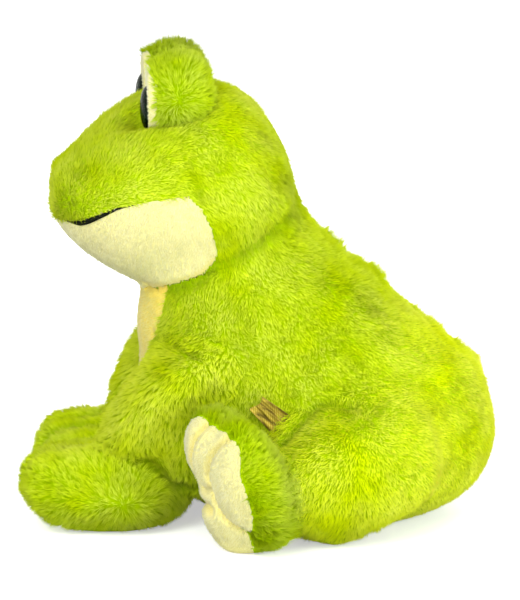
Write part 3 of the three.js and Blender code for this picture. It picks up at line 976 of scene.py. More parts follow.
@dataclass(frozen=True)
class FloorFinish(Finish):
    """A pale floor that the camera sees as white, with the toy's shadow."""

    dye: str
    speck: str
    glow: float

    def dress(self, wire: Wiring, shader: bpy.types.Node) -> None:
        """Sets up the surface of a new material.

        Args:
            wire: the material's tree.
            shader: its shader.
        """
        wire.fill(
            shader, Base_Color=wire.mix(wire.noise(3.0), linear(self.dye), linear(self.speck)),
            Roughness=0.9, Specular_IOR_Level=0.1, Emission_Color=WHITE,
            Emission_Strength=wire.math("MULTIPLY", wire.seen_directly(), self.glow),
        )


# In each pile finish, root and fold are painted shade, and tip and pale are painted highlights.
LIME = PileFinish(
    "lime_pile", "lime_plush", root="90b400", body="c4dd00", tip="daee14", pale="e8f464",
    fold="6f9400", patchiness=0.6, sheen=0.1, sheen_tint="e4f450",
)
CREAM = PileFinish(
    "cream_pile", "cream_plush", root="e3dc90", body="f4f0ac", tip="faf7c4", pale="fdfbdc",
    fold="f0dc68",
)
YELLOW = PileFinish(
    "yellow_pile", "yellow_plush", root="e8d050", body="fae970", tip="fdf08c", pale="fdf5b0",
    fold="dcc048",
)
BLACK_FELT = FeltFinish("mouth_black", "black_felt", dye="10120c", fibre="23281c")
BASE_KNIT = FeltFinish("base_knit", "lime_plush", dye="8fb31a", fibre="b4d23a", grain=700.0)
IRIS = PlasticFinish(
    "iris_plastic", "green_plastic", dye="8fc21f", shade="79ac12", roughness=0.2, coat=0.6
)
PUPIL = PlasticFinish(
    "pupil_plastic", "black_plastic", dye="040a06", shade="0e2012", roughness=0.14,
    bending=1.2, shine=0.2,
)
LENS = PlasticFinish(
    "lens_plastic", "clear_plastic", dye="f4faea", shade="fafdf4", roughness=0.02,
    clear=1.0, bending=1.04,
)
WASHER = PlasticFinish(
    "washer_plastic", "washer_plastic", dye="efefec", shade="dededa", roughness=0.4
)
TAG_TILT = math.radians(50)
# The ribbon's lighter and deeper colours are painted highlights and painted shade.
GOLD = RibbonFinish(
    "tag_gold", "gold_ribbon", thread="a8921f", bright="d8c660", dark="5c4e12", tilt=TAG_TILT
)
PALE_FLOOR = FloorFinish("pale_floor", "studio", dye="f4f4f2", speck="fbfbfa", glow=0.5)


# Pile.


@dataclass(frozen=True)
class Pile:
    """How a cloth's pile is cut: the size and spacing of its locks, and how they lie.

    The three ranges are shares of the full length, of the full width and of the way out
    along the normal.
    """

    length: float = 4.8 * MM
    width: float = 0.55 * MM
    spacing: float = 0.76 * MM
    nap: Nap = Nap.SOFT
    wander: float = 0.5
    tangle: float = 0.4
    stray: float = 0.22
    grain: float = 13 * MM
    lock_grain: float = 2.6 * MM
    seed: int = 1
    sunk: float = 0.8 * MM
    tuft: float = 2.3 * MM
    gather: float = 0.55
    lengths: tuple[float, float] = (0.78, 1.1)
    widths: tuple[float, float] = (0.75, 1.25)
    stands: tuple[float, float] = (0.25, 1.0)


LONG_PILE = Pile()
FLUFFY_PILE = Pile(length=6.2 * MM, lock_grain=3.2 * MM, tangle=0.42, tuft=3.2 * MM, gather=0.66)
SLEEK_PILE = Pile(length=4.8 * MM, nap=Nap.SLEEK, wander=0.45, tangle=0.34, gather=0.5)
SHORT_PILE = Pile(
    length=1.5 * MM, width=0.75 * MM, spacing=0.85 * MM, nap=Nap.FLUFFY, tangle=0.5,
    sunk=0.4 * MM, tuft=2.0 * MM, gather=0.3,
)


@dataclass
class Tufts:
    """Locks of pile on a surface: where each is rooted, where it bends to, its tones, to which
    painted light is added, and its nearness to a crease.
    """

    roots: Points
    normals: Points
    tips: Points
    widths: np.ndarray
    tones: np.ndarray
    # How near each lock is to a crease, where painted shade is laid.
    folded: np.ndarray


def grow_pile(
    skin: Skin,
    pile: Pile,
    comb: Flow,
    share: np.ndarray,
    folded: np.ndarray,
    floor: float = 0.6 * MM,
) -> Tufts:
    """Locks of pile spread evenly over a surface, lying the way it was brushed.

    Args:
        skin: the cloth that the pile stands on.
        pile: the cut of the pile.
        comb: gives the way that the pile lies, from places and normals.
        share: at each corner, the share of the full length that stands there.
        folded: at each corner, how near it is to a crease, where painted shade is laid.
        floor: the lowest that a tip may reach.

    Returns:
        The locks.
    """
    bald = 0.05
    dice = np.random.default_rng(pile.seed)
    triangles, corners = skin.triangles, skin.corners
    a, b, c = (corners[triangles[:, i]] for i in range(3))
    area = np.linalg.norm(np.cross(b - a, c - a), axis=1) / 2
    run = np.cumsum(area)
    count = int(run[-1] / pile.spacing**2)
    chosen = np.searchsorted(run, (np.arange(count) + dice.uniform(0, 1, count)) / count * run[-1])
    chosen = np.minimum(chosen, len(triangles) - 1)
    u, v = dice.uniform(0, 1, (2, count))
    fold = u + v > 1
    u[fold], v[fold] = 1 - u[fold], 1 - v[fold]
    weights = np.column_stack([1 - u - v, u, v])
    picked = triangles[chosen]
    roots = np.einsum("ij,ijk->ik", weights, corners[picked])
    normals = unit(np.einsum("ij,ijk->ik", weights, skin.normals()[picked]))
    reach = np.einsum("ij,ij->i", weights, share[picked])
    root_crease_shade = np.einsum("ij,ij->i", weights, folded[picked])
    keep = reach > bald
    roots, normals, reach, root_crease_shade = roots[keep], normals[keep], reach[keep], root_crease_shade[keep]
    count = len(roots)

    way = along_surface(comb(roots, normals), normals)
    way = way / np.maximum(np.linalg.norm(way, axis=1, keepdims=True), 0.25)
    slow, quick = Drift(pile.grain, pile.seed + 10), Drift(pile.lock_grain, pile.seed + 20)
    stray = dice.normal(0, pile.stray, (count, 3))
    way = way + pile.wander * slow.at(roots) + pile.tangle * 1.6 * quick.at(roots) + stray
    way = along_surface(way, normals)
    lie = np.linalg.norm(way, axis=1, keepdims=True)
    way = way / np.maximum(lie, 1e-9)
    ruffled = 0.8 * np.maximum(reach - 1, 0)[:, None]
    stand = np.clip(pile.nap.value + 0.22 * quick.at(roots)[:, :1] + ruffled, *pile.stands)
    aim = unit(normals * stand + way * np.sqrt(1 - stand**2) * np.minimum(lie, 1.2))
    to_tuft, mark = Drift(pile.tuft, pile.seed + 30).gathered(roots + way * pile.tuft * 0.3)
    length = pile.length * reach * dice.uniform(*pile.lengths, count) * (1 + 0.14 * mark)
    tips = roots + aim * length[:, None]
    tips += along_surface(to_tuft, normals) * pile.gather * np.clip(reach, 0, 1)[:, None]
    tips[:, 2] = np.maximum(tips[:, 2], floor)
    widths = pile.width * dice.uniform(*pile.widths, count) * np.clip(reach, 0.5, 1)
    tones = 0.5 + 0.28 * slow.at(roots)[:, 0] + 0.3 * mark + dice.normal(0, 0.14, count)
    sunk = roots - normals * pile.sunk
    return Tufts(sunk, normals, tips, widths, np.clip(tones, 0, 1), root_crease_shade)


def piled_mesh(name: str, skin: Skin, tufts: Tufts, folds: Sequence["Fold"]) -> bpy.types.Mesh:
    """The cloth and its pile as one mesh, with the pile's height, its tones with painted light,
    and its painted crease shade at each corner.

    Args:
        name: the mesh's name.
        skin: the cloth under the pile.
        tufts: the locks that stand on it.
        folds: the creases that may cross it.

    Returns:
        The mesh, with a map in which the locks share one strip.
    """
    count, base = len(tufts.roots), len(skin.corners)
    reach = 0.62
    aim = unit(tufts.tips - tufts.roots)
    first = unit(np.cross(aim, tufts.normals) + 1e-6)
    second = np.cross(aim, first)
    ring = []
    for angle in (math.pi / 2, math.pi * 7 / 6, math.pi * 11 / 6):
        offset = first * math.cos(angle) + second * math.sin(angle)
        ring.append(tufts.roots + offset * tufts.widths[:, None] * reach)
    corners = np.vstack([skin.corners, *ring, tufts.tips])
    number = np.arange(count)
    at = [base + number + i * count for i in range(4)]
    spikes = np.vstack([np.column_stack([at[i], at[(i + 1) % 3], at[3]]) for i in range(3)])
    mesh = plain_mesh(name, corners, [skin.faces, spikes])

    # The cloth under the pile takes nearly the root's painted shade.
    cloth_height, cloth_tone = 0.12, 0.4
    measures = {
        "pile_height": [np.full(base, cloth_height), np.zeros(3 * count), np.ones(count)],
        # pile_tone carries random tones and the panels' painted light.
        "pile_tone": [np.full(base, cloth_tone), np.tile(tufts.tones, 4)],
        # pile_fold lays painted shade in the creases.
        "pile_fold": [fold_share(skin.corners, folds), np.tile(tufts.folded, 4)],
    }
    for label, values in measures.items():
        layer = mesh.attributes.new(label, "FLOAT", "POINT")
        layer.data.foreach_set("value", np.concatenate(values).astype(np.float32))
    lay_bake_map(mesh, skin, count)
    tips = unit(tufts.normals * 1.2 + aim)
    soft = np.vstack([skin.normals(), *([tufts.normals] * 3), tips])
    mesh.normals_split_custom_set_from_vertices(soft.astype(np.float32).tolist())
    return mesh


def lay_bake_map(mesh: bpy.types.Mesh, skin: Skin, count: int) -> None:
    """Gives the mesh its own map: the cloth below, seen from its widest side, and the locks above.

    Args:
        mesh: the cloth and its pile.
        skin: the cloth, whose faces come first.
        count: the number of locks, with three faces each after the cloth's.
    """
    low = skin.corners.min(0)
    size = (skin.corners.max(0) - low).max()
    flat = (skin.corners[skin.faces] - low) / size
    turned = np.abs(np.cross(flat[:, 1] - flat[:, 0], flat[:, 2] - flat[:, 0])).argmax(1)
    pairs = np.array([[1, 2], [0, 2], [0, 1]])[turned]
    spot = np.take_along_axis(flat, pairs[:, None, :].repeat(flat.shape[1], 1), 2)
    spot = spot * [0.32, 0.46]
    spot[:, :, 0] += turned[:, None] * 0.335
    columns, rows = 96, 24
    number = np.arange(count)
    left = (number % columns) / columns
    foot = 0.5 + (number // columns % rows) / rows * 0.5
    wide, tall = 0.8 / columns, 0.9 / rows / 2
    strips = []
    for i in range(3):
        shift = left + wide * i / 3
        three = ((shift, foot), (shift + wide / 3, foot), (shift + wide / 6, foot + tall))
        strips.append(np.stack([np.column_stack(corner) for corner in three], axis=1))
    layer = mesh.uv_layers.new(name="OFBake")
    flat_map = np.concatenate([spot.reshape(-1, 2), np.vstack(strips).reshape(-1, 2)])
    layer.data.foreach_set("uv", flat_map.astype(np.float32).ravel())


def place_piece(
    name: str,
    mesh: bpy.types.Mesh,
    body: str,
    finish: Finish,
    replaced: Sequence[str] = (),
    bend: "Bend | None" = None,
) -> bpy.types.Object:
    """Puts a finished mesh in the scene on its body, in its finish.

    Args:
        name: the piece's name.
        mesh: its mesh, in the row frame.
        body: the CAD body that carries it.
        finish: what it is made of.
        replaced: the CAD nodes that it stands for.
        bend: the joint that it spans, if it does; then it is not put on its body but keeps its
            place baked into its mesh.

    Returns:
        The piece.
    """
    piece = in_scene(name, mesh)
    mesh.materials.append(finish.material())
    if bend is None:
        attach(piece, body)
    else:
        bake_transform(piece)
    if replaced:
        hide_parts(*replaced)
    log.info("%s: %d faces on %s", name, len(mesh.polygons), body)
    return piece


# Sub-assemblies.


GRAIN = 2.0 * MM
CORE_GRAIN = 3.0 * MM
PRESSED = 0.5 * MM
AXIS_X, AXIS_Y, AXIS_Z = np.eye(3)


def joint_place(name: str) -> np.ndarray:
    """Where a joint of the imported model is."""
    return np.array(next(j for j in frame["joints"] if j["name"] == name)["pos_m"], float)


def steady(x: float, y: float, z: float) -> Flow:
    """Pile brushed one way everywhere."""
    return lambda points, normals: np.tile([x, y, z], (len(points), 1))


@dataclass
class TorsoForm:
    """The torso's pear shape and the roll of stuffing under the head, as the CAD has them."""

    length: float = 220 * MM
    width: float = 180 * MM
    height: float = 187 * MM
    pole_share: float = -0.11
    neck_ahead: float = 42 * MM
    roll: tuple[float, float, float] = (73 * MM, 69 * MM, 69 * MM)
    rings: Sequence[tuple[float, float, float, float]] = (
        (0, 0.255, 0.25, 0.3), (0.043, 0.335, 0.362, 0.4), (0.118, 0.405, 0.441, 0.468),
        (0.242, 0.467, 0.482, 0.5), (0.376, 0.492, 0.468, 0.494), (0.495, 0.5, 0.43, 0.467),
        (0.58, 0.495, 0.34, 0.439), (0.656, 0.486, 0.262, 0.4), (0.731, 0.45, 0.185, 0.344),
        (0.806, 0.36, 0.112, 0.267), (0.86, 0, 0, 0),
    )

    def skin(self) -> Skin:
        """The torso's outer surface.

        Returns:
            The surface, as triangles.
        """
        neck = joint_place("neck_nod")
        centre = neck[1] + self.neck_ahead
        rings = [
            (
                0, centre + (0 if flank else self.pole_share * self.length), rise * self.height,
                flank * self.width, rump * self.length, chest * self.length,
            )
            for rise, chest, rump, flank in self.rings
        ]
        return together([loft(rings, AXIS_X, AXIS_Y), ball(neck, self.roll, np.eye(3))])


@dataclass
class HeadForm:
    """The head from nose to nape, as the CAD has it."""

    length: float = 146 * MM
    width: float = 152 * MM
    height: float = 128 * MM
    nose_ahead: float = 120 * MM
    lift: float = 80 * MM
    rings: Sequence[tuple[float, float, float, float]] = (
        (0, 0, 0, 0), (0.0135, 0.12, 0.117, 0.156), (0.054, 0.168, 0.195, 0.247),
        (0.128, 0.248, 0.281, 0.331), (0.236, 0.358, 0.367, 0.403), (0.372, 0.455, 0.44, 0.455),
        (0.52, 0.494, 0.465, 0.487), (0.669, 0.502, 0.435, 0.5), (0.804, 0.442, 0.39, 0.474),
        (0.912, 0.29, 0.29, 0.39), (0.973, 0.14, 0.15, 0.273), (1, 0, 0, 0),
    )

    @property
    def nose_y(self) -> float:
        """Where the head begins."""
        return joint_place("neck_nod")[1] - self.nose_ahead

    @property
    def level(self) -> float:
        """The height of the line from which rise and drop are measured."""
        return joint_place("neck_nod")[2] + self.lift

    def skin(self) -> Skin:
        """The head's outer surface.

        Returns:
            The surface, as triangles.
        """
        rings = [
            (0, self.nose_y + along * self.length, self.level,
             half * self.width, rise * self.height, drop * self.height)
            for along, rise, drop, half in self.rings
        ]
        return loft(rings, AXIS_X, AXIS_Z)


@dataclass
class ArmForm:
    """An arm with its three-fingered paw flat on the floor, as the CAD has it."""

    side: Side
    thickness: float = 63 * MM
    reach: float = 39 * MM
    rise: float = 98 * MM
    finger_length: float = 105 * MM
    finger_width: float = 38 * MM
    finger_height: float = 49 * MM
    heel: float = 37 * MM
    rings: Sequence[tuple[float, float, float, float]] = (
        (1.2, 0.02, 0.1, 0), (1.16, 0.03, 0.13, 0.22), (1.08, 0.05, 0.18, 0.38),
        (0.98, 0.1, 0.26, 0.47), (0.86, 0.2, 0.42, 0.5), (0.74, 0.36, 0.58, 0.5),
        (0.58, 0.6, 0.8, 0.48), (0.42, 0.82, 0.97, 0.43), (0.28, 0.96, 1.07, 0.34),
        (0.16, 1, 1.13, 0.18), (0.1, 1, 1.15, 0),
    )
    fingers: Sequence[tuple[float, ...]] = (
        (0.12, 0, 0.21, -0.97, 1, 1.06), (0, 0, 0, -1, 1, 1),
        (-0.12, 0, -0.21, -0.95, 0.96, 0.96), (0, -0.02, 0, -0.9, 2.2, 0.84),
    )
    finger_rings: Sequence[tuple[float, float, float, float]] = (
        (0, 0, 0, 0), (0.05, 0.42, 0.42, 0.42), (0.18, 0.8, 0.8, 0.8), (0.36, 1, 1, 1),
        (0.56, 1, 1, 1), (0.76, 0.94, 0.97, 0.88), (0.9, 0.74, 0.86, 0.6),
        (0.97, 0.46, 0.58, 0.3), (1, 0, 0, 0),
    )

    @property
    def top(self) -> np.ndarray:
        """Where the arm is sewn on."""
        return joint_place(f"shoulder_lift_{self.side.word}")

    @property
    def lay(self) -> tuple[float, float]:
        """How far forward and inward the paw lies."""
        shares = (1.04, 0.78) if self.side is Side.LEFT else (0.79, 0.3)
        return (shares[0] * self.reach, shares[1] * self.reach)

    @property
    def heel_place(self) -> np.ndarray:
        """Where the fingers start on the floor."""
        top, (forward, inward) = self.top, self.lay
        return np.array([top[0] - self.side.value * inward, top[1] - forward + self.heel, 0.0])

    def gaps(self) -> list[Points]:
        """Lines above the gaps between the fingers, from root to tip.

        Returns:
            One line for each gap.
        """
        lines = []
        for first, second in zip(self.fingers[:2], self.fingers[1:3]):
            root = (np.array(first[:2]) + second[:2]) / 2
            tip = (np.array(first[2:4]) + second[2:4]) / 2
            spots = root + (tip - root) * np.linspace(0.28, 0.99, 5)[:, None]
            spots[:, 0] *= self.side.value
            flat = self.heel_place + np.column_stack([spots * self.finger_length, np.zeros(5)])
            lines.append(flat + AXIS_Z * 1.4 * self.finger_height)
        return lines

    def skin(self) -> Skin:
        """The arm's outer surface, palm and fingers with it.

        Returns:
            The surface, as triangles.
        """
        sign = self.side.value
        top, (forward, inward) = self.top, self.lay
        rings = [
            (top[0] - sign * inner * inward, top[1] - ahead * forward, rise * self.rise,
             *[radius * self.thickness] * 3)
            for rise, inner, ahead, radius in self.rings
        ]
        heel = self.heel_place
        parts = [loft(rings, AXIS_X, AXIS_Y)]
        for root_x, root_y, tip_x, tip_y, wide, tall in self.fingers:
            half = self.finger_height * tall / 2
            lift = np.array([0, 0, half - PRESSED])
            start, end = (
                np.array([sign * x, y, 0]) * self.finger_length + heel + lift
                for x, y in ((root_x, root_y), (tip_x, tip_y))
            )
            way = (end - start) / np.linalg.norm(end - start)
            across = np.cross(way, AXIS_Z)
            swell = self.finger_width * wide / 2
            rows = [
                (*(start + (end - start) * along), reach * swell, rise * half, drop * half)
                for along, reach, rise, drop in self.finger_rings
            ]
            parts.append(loft(rows, across, AXIS_Z))
        return together(parts)


@dataclass
class HindForm:
    """What a leg and its foot share: their side, and the way that they point along the floor."""

    side: Side
    splay: float = math.radians(27)

    @property
    def ahead(self) -> np.ndarray:
        """The way that the leg and the foot point along the floor."""
        return np.array([self.side.value * math.sin(self.splay), -math.cos(self.splay), 0.0])


@dataclass
class LegForm(HindForm):
    """A thigh that lies on the floor, as the CAD has it."""

    length: float = 118 * MM
    thickness: float = 93 * MM
    ankle_height: float = 37 * MM
    rings: Sequence[tuple[float, float, float, float]] = (
        (0, 0, 0, 0), (0.06, 0.22, 0.27, 0.18), (0.17, 0.37, 0.44, 0.33), (0.3, 0.45, 0.5, 0.42),
        (0.46, 0.46, 0.48, 0.455), (0.62, 0.43, 0.43, 0.44), (0.77, 0.36, 0.36, 0.36),
        (0.9, 0.26, 0.26, 0.26), (0.97, 0.15, 0.15, 0.15), (1, 0, 0, 0),
    )

    def skin(self) -> Skin:
        """The leg's outer surface.

        Returns:
            The surface, as triangles.
        """
        hip = joint_place(f"hip_lift_{self.side.word}")
        half, inset = self.thickness / 2, self.thickness / 4
        start = np.array([hip[0] - self.side.value * inset, hip[1] + inset, half - PRESSED])
        fall = np.array([0, 0, self.ankle_height - half])
        rings = [
            (*(start + self.ahead * along * self.length + fall * along),
             *(reach * self.thickness for reach in reaches))
            for along, *reaches in self.rings
        ]
        return loft(rings, np.cross(self.ahead, AXIS_Z), AXIS_Z)


@dataclass
class FootForm(HindForm):
    """A foot on its heel with the CAD's puffed lobes, and a last one that fills the heel's pad."""

    width: float = 78 * MM
    height: float = 90 * MM
    thickness: float = 39 * MM
    beyond: float = 38 * MM
    lean: float = math.radians(19)
    lobes: Sequence[tuple[float, ...]] = (
        (0.02, -0.14, -0.16, 0.36, 0.36, 0.46), (-0.15, 0.19, 0, 0.34, 0.31, 0.5),
        (0.18, 0.04, 0.02, 0.31, 0.43, 0.5), (-0.1, -0.24, 0, 0.38, 0.26, 0.5),
        (0, -0.03, -0.04, 0.4, 0.42, 0.4), (-0.12, -0.2, 0.1, 0.32, 0.3, 0.48),
    )

    def axes(self) -> np.ndarray:
        """Across the sole, up it and out through it.

        Returns:
            One axis in each row.
        """
        through = self.ahead * math.cos(self.lean) - AXIS_Z * math.sin(self.lean)
        up = AXIS_Z * math.cos(self.lean) + self.ahead * math.sin(self.lean)
        sign = self.side.value
        across = np.array([sign * math.cos(self.splay), math.sin(self.splay), 0.0])
        return np.array([across, up, through])

    def middle(self) -> np.ndarray:
        """The middle of the foot, from its ankle joint.

        Returns:
            Its place in metres.
        """
        place = joint_place(f"ankle_tip_{self.side.word}") + self.ahead * self.beyond
        place[2] = self.height * math.cos(self.lean) / 2 - PRESSED
        return place

    def skin(self) -> Skin:
        """The foot's outer surface.

        Returns:
            The surface, as triangles.
        """
        axes, size = self.axes(), np.array([self.width, self.height, self.thickness])
        middle = self.middle()
        return together(
            [
                ball(middle + (lobe[:3] * size) @ axes, lobe[3:] * size, axes)
                for lobe in np.array(self.lobes)
            ]
        )


@dataclass(frozen=True)
class Fold:
    """A crease in the cloth: its line, how far it reaches on each side and how deep it is."""

    line: Points
    reach: float
    depth: float

    def near(self, points: Points) -> np.ndarray:
        """How near each point is to the line.

        Args:
            points: places in metres.

        Returns:
            1 on the line, 0 beyond its reach.
        """
        low, high = self.line.min(0) - self.reach, self.line.max(0) + self.reach
        inside = np.flatnonzero(np.all((points > low) & (points < high), axis=1))
        gap = np.full(len(inside), self.reach)
        for start, end in zip(self.line[:-1], self.line[1:]):
            along = end - start
            share = np.clip((points[inside] - start) @ along / (along @ along), 0, 1)
            apart = points[inside] - start - share[:, None] * along
            gap = np.minimum(gap, np.linalg.norm(apart, axis=1))
        near = np.zeros(len(points))
        near[inside] = 1 - eased(gap, 0, self.reach)
        return near

    @classmethod
    def cast(
        cls, tree: BVHTree, knots: Points, way: np.ndarray, reach: float, depth: float
    ) -> "Fold":
        """A crease whose knots are cast onto the cloth.

        Args:
            tree: the cloth.
            knots: places in front of the cloth.
            way: the direction that they are cast in.
            reach: how far the crease reaches.
            depth: how deep it is.

        Returns:
            The crease on the cloth.
        """
        starts = curve_through(knots, np.linspace(0, 1, 14))
        hits = [tree.ray_cast(Vector(start), Vector(way))[0] for start in starts]
        return cls(np.array([hit for hit in hits if hit is not None]), reach, depth)


def fold_share(points: Points, folds: Sequence[Fold]) -> np.ndarray:
    """How near each point is to the nearest of the creases.

    Args:
        points: places in metres.
        folds: the creases.

    Returns:
        From 0, away from all, to 1 in a deep one.
    """
    deep = 3 * MM
    share = np.zeros(len(points))
    for fold in folds:
        share = np.maximum(share, fold.near(points) * min(1.0, fold.depth / deep))
    return share


def tousled(points: Points) -> np.ndarray:
    """How far the pile is ruffled up in patches along the seam of the back.

    Args:
        points: places in metres.

    Returns:
        From 0, brushed flat, to 1.
    """
    x, y, z = np.abs(points[:, 0]), points[:, 1], points[:, 2]
    ridge = (1 - eased(x, 8 * MM, 30 * MM)) * eased(y, 20 * MM, 45 * MM)
    ridge *= eased(z, 70 * MM, 95 * MM)
    return ridge * eased(Drift(8 * MM, 99).at(points)[:, 0], -0.1, 0.5)


def rump(points: Points) -> np.ndarray:
    """How far each place is in the smooth rump, which is painted paler, as painted light.

    Args:
        points: places in metres.

    Returns:
        From 0, outside it, to 1.
    """
    behind = eased(points[:, 1], 45 * MM, 100 * MM)
    return behind * (1 - eased(points[:, 2], 110 * MM, 150 * MM))


@dataclass
class Seam:
    """Where two bodies are sewn together, and how fully stuffing hides it."""

    first: str
    second: str
    reach: float
    fullness: Measure


class Cloth:
    """The toy's whole outer cloth, sewn round its stuffed forms and cut into panels.

    The marks are in mm: on the sole, across it and up it; on the side, y and z, then the
    crease's reach and depth; on the wrist, y from the heel of the paw, and z. The other
    creases have their reach and depth in metres.
    """

    packing_rounds: int = 1400
    pile_room: float = 1.8 * MM
    core_depth: float = 6 * MM
    sole_crease: tuple[float, float] = (4.2 * MM, 3.0 * MM)
    finger_crease: tuple[float, float] = (7 * MM, 4.5 * MM)
    wrist_crease: tuple[float, float] = (6 * MM, 3.5 * MM)
    wrist_marks = ((-32, 46), (-22, 36), (-10, 30), (3, 27))
    sole_marks = (
        ((-1.7, 3.6), (-2.4, 12.8), (4.8, 25.2), (20.3, 37.3)),
        ((5, 47), (-9.5, 34.9), (-19, 16), (-18.8, 2.1), (-1.7, 3.6)),
        ((-1.7, 3.6), (-0.2, -5.4), (7.5, -16.6), (26, -26)),
    )
    side_marks = (
        (((-28, 161), (-38, 152), (-58, 144), (-72, 142)), 6.0, 2.6),
        (((-28, 161), (-12, 168), (3, 178), (15, 187)), 8.0, 1.3),
        (((-64, 116), (-52, 114), (-40, 110)), 4.5, 1.3),
        (((8, 62), (20, 74), (33, 83), (50, 82)), 7.0, 3.6),
        (((-47, 220), (-43, 212), (-39, 201)), 4.5, 1.0),
        (((-114, 226), (-108, 220), (-104, 213)), 6.0, 0.5),
    )

    def __init__(self) -> None:
        """Sews the cloth round the forms of every body."""
        self.forms: dict[str, Skin] = {"torso": TorsoForm().skin(), "head": HeadForm().skin()}
        for side in Side:
            self.forms[f"arm_{side.word}"] = ArmForm(side).skin()
            self.forms[f"leg_{side.word}"] = LegForm(side).skin()
            self.forms[f"foot_{side.word}"] = FootForm(side).skin()
        skin = remeshed(together(list(self.forms.values())), 1.5 * GRAIN).relaxed(3)
        skin = remeshed(self.stuffed(skin), GRAIN).relaxed(4)
        away = self.away_from_forms(skin)
        above = eased(skin.corners[:, 2], 2 * MM, 8 * MM)
        resting = np.clip(-skin.normals()[:, 2], 0, 1) * (1 - above)
        skin = skin.moved(-self.pile_room * (1 - resting)).relaxed(2)
        self.folds = self.creases(skin)
        deep = np.zeros(len(skin.corners))
        for fold in self.folds:
            deep = np.maximum(deep, fold.depth * fold.near(skin.corners))
        skin = skin.moved(-deep)
        skin.corners[:, 2] = np.maximum(skin.corners[:, 2], 0.4 * MM)
        self.lift_thighs(skin)
        self.skin = skin
        self.names = list(self.forms)
        nearest = np.array([away[name] for name in self.names])
        self.owner = nearest[:, skin.faces].mean(axis=2).argmin(axis=0)
        log.info("cloth: %d corners", len(skin.corners))

    def away_from_forms(self, skin: Skin) -> dict[str, np.ndarray]:
        """How far each corner of a cloth lies outside the form of each body."""
        return {name: distance_to(skin.corners, form) for name, form in self.forms.items()}

    def lift_thighs(self, skin: Skin) -> None:
        """Rounds each thigh's outer underside, so that it rests on its inner side.

        Args:
            skin: the cloth, whose corners are moved.
        """
        x, y, z = skin.corners.T
        share = eased(np.abs(x), 50 * MM, 85 * MM) * eased(y, 38 * MM, 60 * MM)
        skin.corners[:, 2] += 7 * MM * share * (1 - eased(z, 4 * MM, 36 * MM))

    def stuffed(self, skin: Skin) -> Skin:
        """The cloth with its creases filled, as packed stuffing fills them.

        Args:
            skin: the cloth round the bare forms.

        Returns:
            The fuller cloth.
        """
        away = self.away_from_forms(skin)
        weight = np.zeros(len(skin.corners))
        for seam in self.seams():
            both = [1 - eased(np.abs(away[b]), 0, seam.reach) for b in (seam.first, seam.second)]
            weight = np.maximum(weight, both[0] * both[1] * seam.fullness(skin.corners))
        for side in Side:
            form = FootForm(side)
            ahead = (skin.corners - form.middle()) @ form.axes()[2]
            near = 1 - eased(away[f"foot_{side.word}"], 0, 6 * MM)
            weight = np.maximum(weight, 0.5 * near * eased(ahead, -6 * MM, 4 * MM))
        return skin.filled(weight, self.packing_rounds)

    def creases(self, skin: Skin) -> list[Fold]:
        """The creases that seams and stitches pull into the cloth.

        Args:
            skin: the cloth, still without them.

        Returns:
            The creases of both sides.
        """
        tree = skin.tree()
        made = []
        for side in Side:
            foot, arm, inward = FootForm(side), ArmForm(side), -side.value * AXIS_X

            def beside(marks: Sequence[tuple[float, float]]) -> Points:
                """Marks of y and z, moved out to one side of the toy."""
                return np.array([(side.value * 200, y, z) for y, z in marks]) * MM

            for marks in self.sole_marks:
                flat = np.array([(across, up, 60) for across, up in marks]) * MM
                start = foot.middle() + flat @ foot.axes()
                made.append(Fold.cast(tree, start, -foot.axes()[2], *self.sole_crease))
            for marks, reach, depth in self.side_marks:
                made.append(Fold.cast(tree, beside(marks), inward, reach * MM, depth * MM))
            for gap in arm.gaps():
                made.append(Fold.cast(tree, gap, -AXIS_Z, *self.finger_crease))
            wrist = beside(self.wrist_marks) + AXIS_Y * arm.heel_place[1]
            made.append(Fold.cast(tree, wrist, inward, *self.wrist_crease))
        return made

    def seams(self) -> list[Seam]:
        """The seams that stuffing rounds over.

        Returns:
            The seams of both sides.
        """

        def at_arm(points: Points) -> np.ndarray:
            """From 0 below and in front of an arm's seam to 1 above and behind it."""
            behind = eased(points[:, 1], -72 * MM, -50 * MM)
            return behind * eased(points[:, 2], 18 * MM, 50 * MM)

        made = [Seam("torso", "head", 60 * MM, lambda p: eased(p[:, 1], 4 * MM, 26 * MM))]
        for side in Side:
            made += [
                Seam("torso", f"arm_{side.word}", 60 * MM, at_arm),
                Seam("torso", f"leg_{side.word}", 64 * MM,
                     lambda p: eased(p[:, 1], 30 * MM, 60 * MM)),
            ]
        return made

    def part(self, body: str) -> Skin:
        """The cloth that belongs to a body."""
        return self.skin.only(self.owner == self.names.index(body))

    def core(self, body: str) -> Skin:
        """A closed form under a body's cloth, seen where a moving joint opens it."""
        return remeshed(self.forms[body], CORE_GRAIN).moved(-self.core_depth)


@dataclass(frozen=True)
class Bend:
    """A joint that a panel spans: the two bodies, and where the span starts and ends."""

    fixed: str
    moving: str
    start: tuple[float, float, float]
    end: tuple[float, float, float]


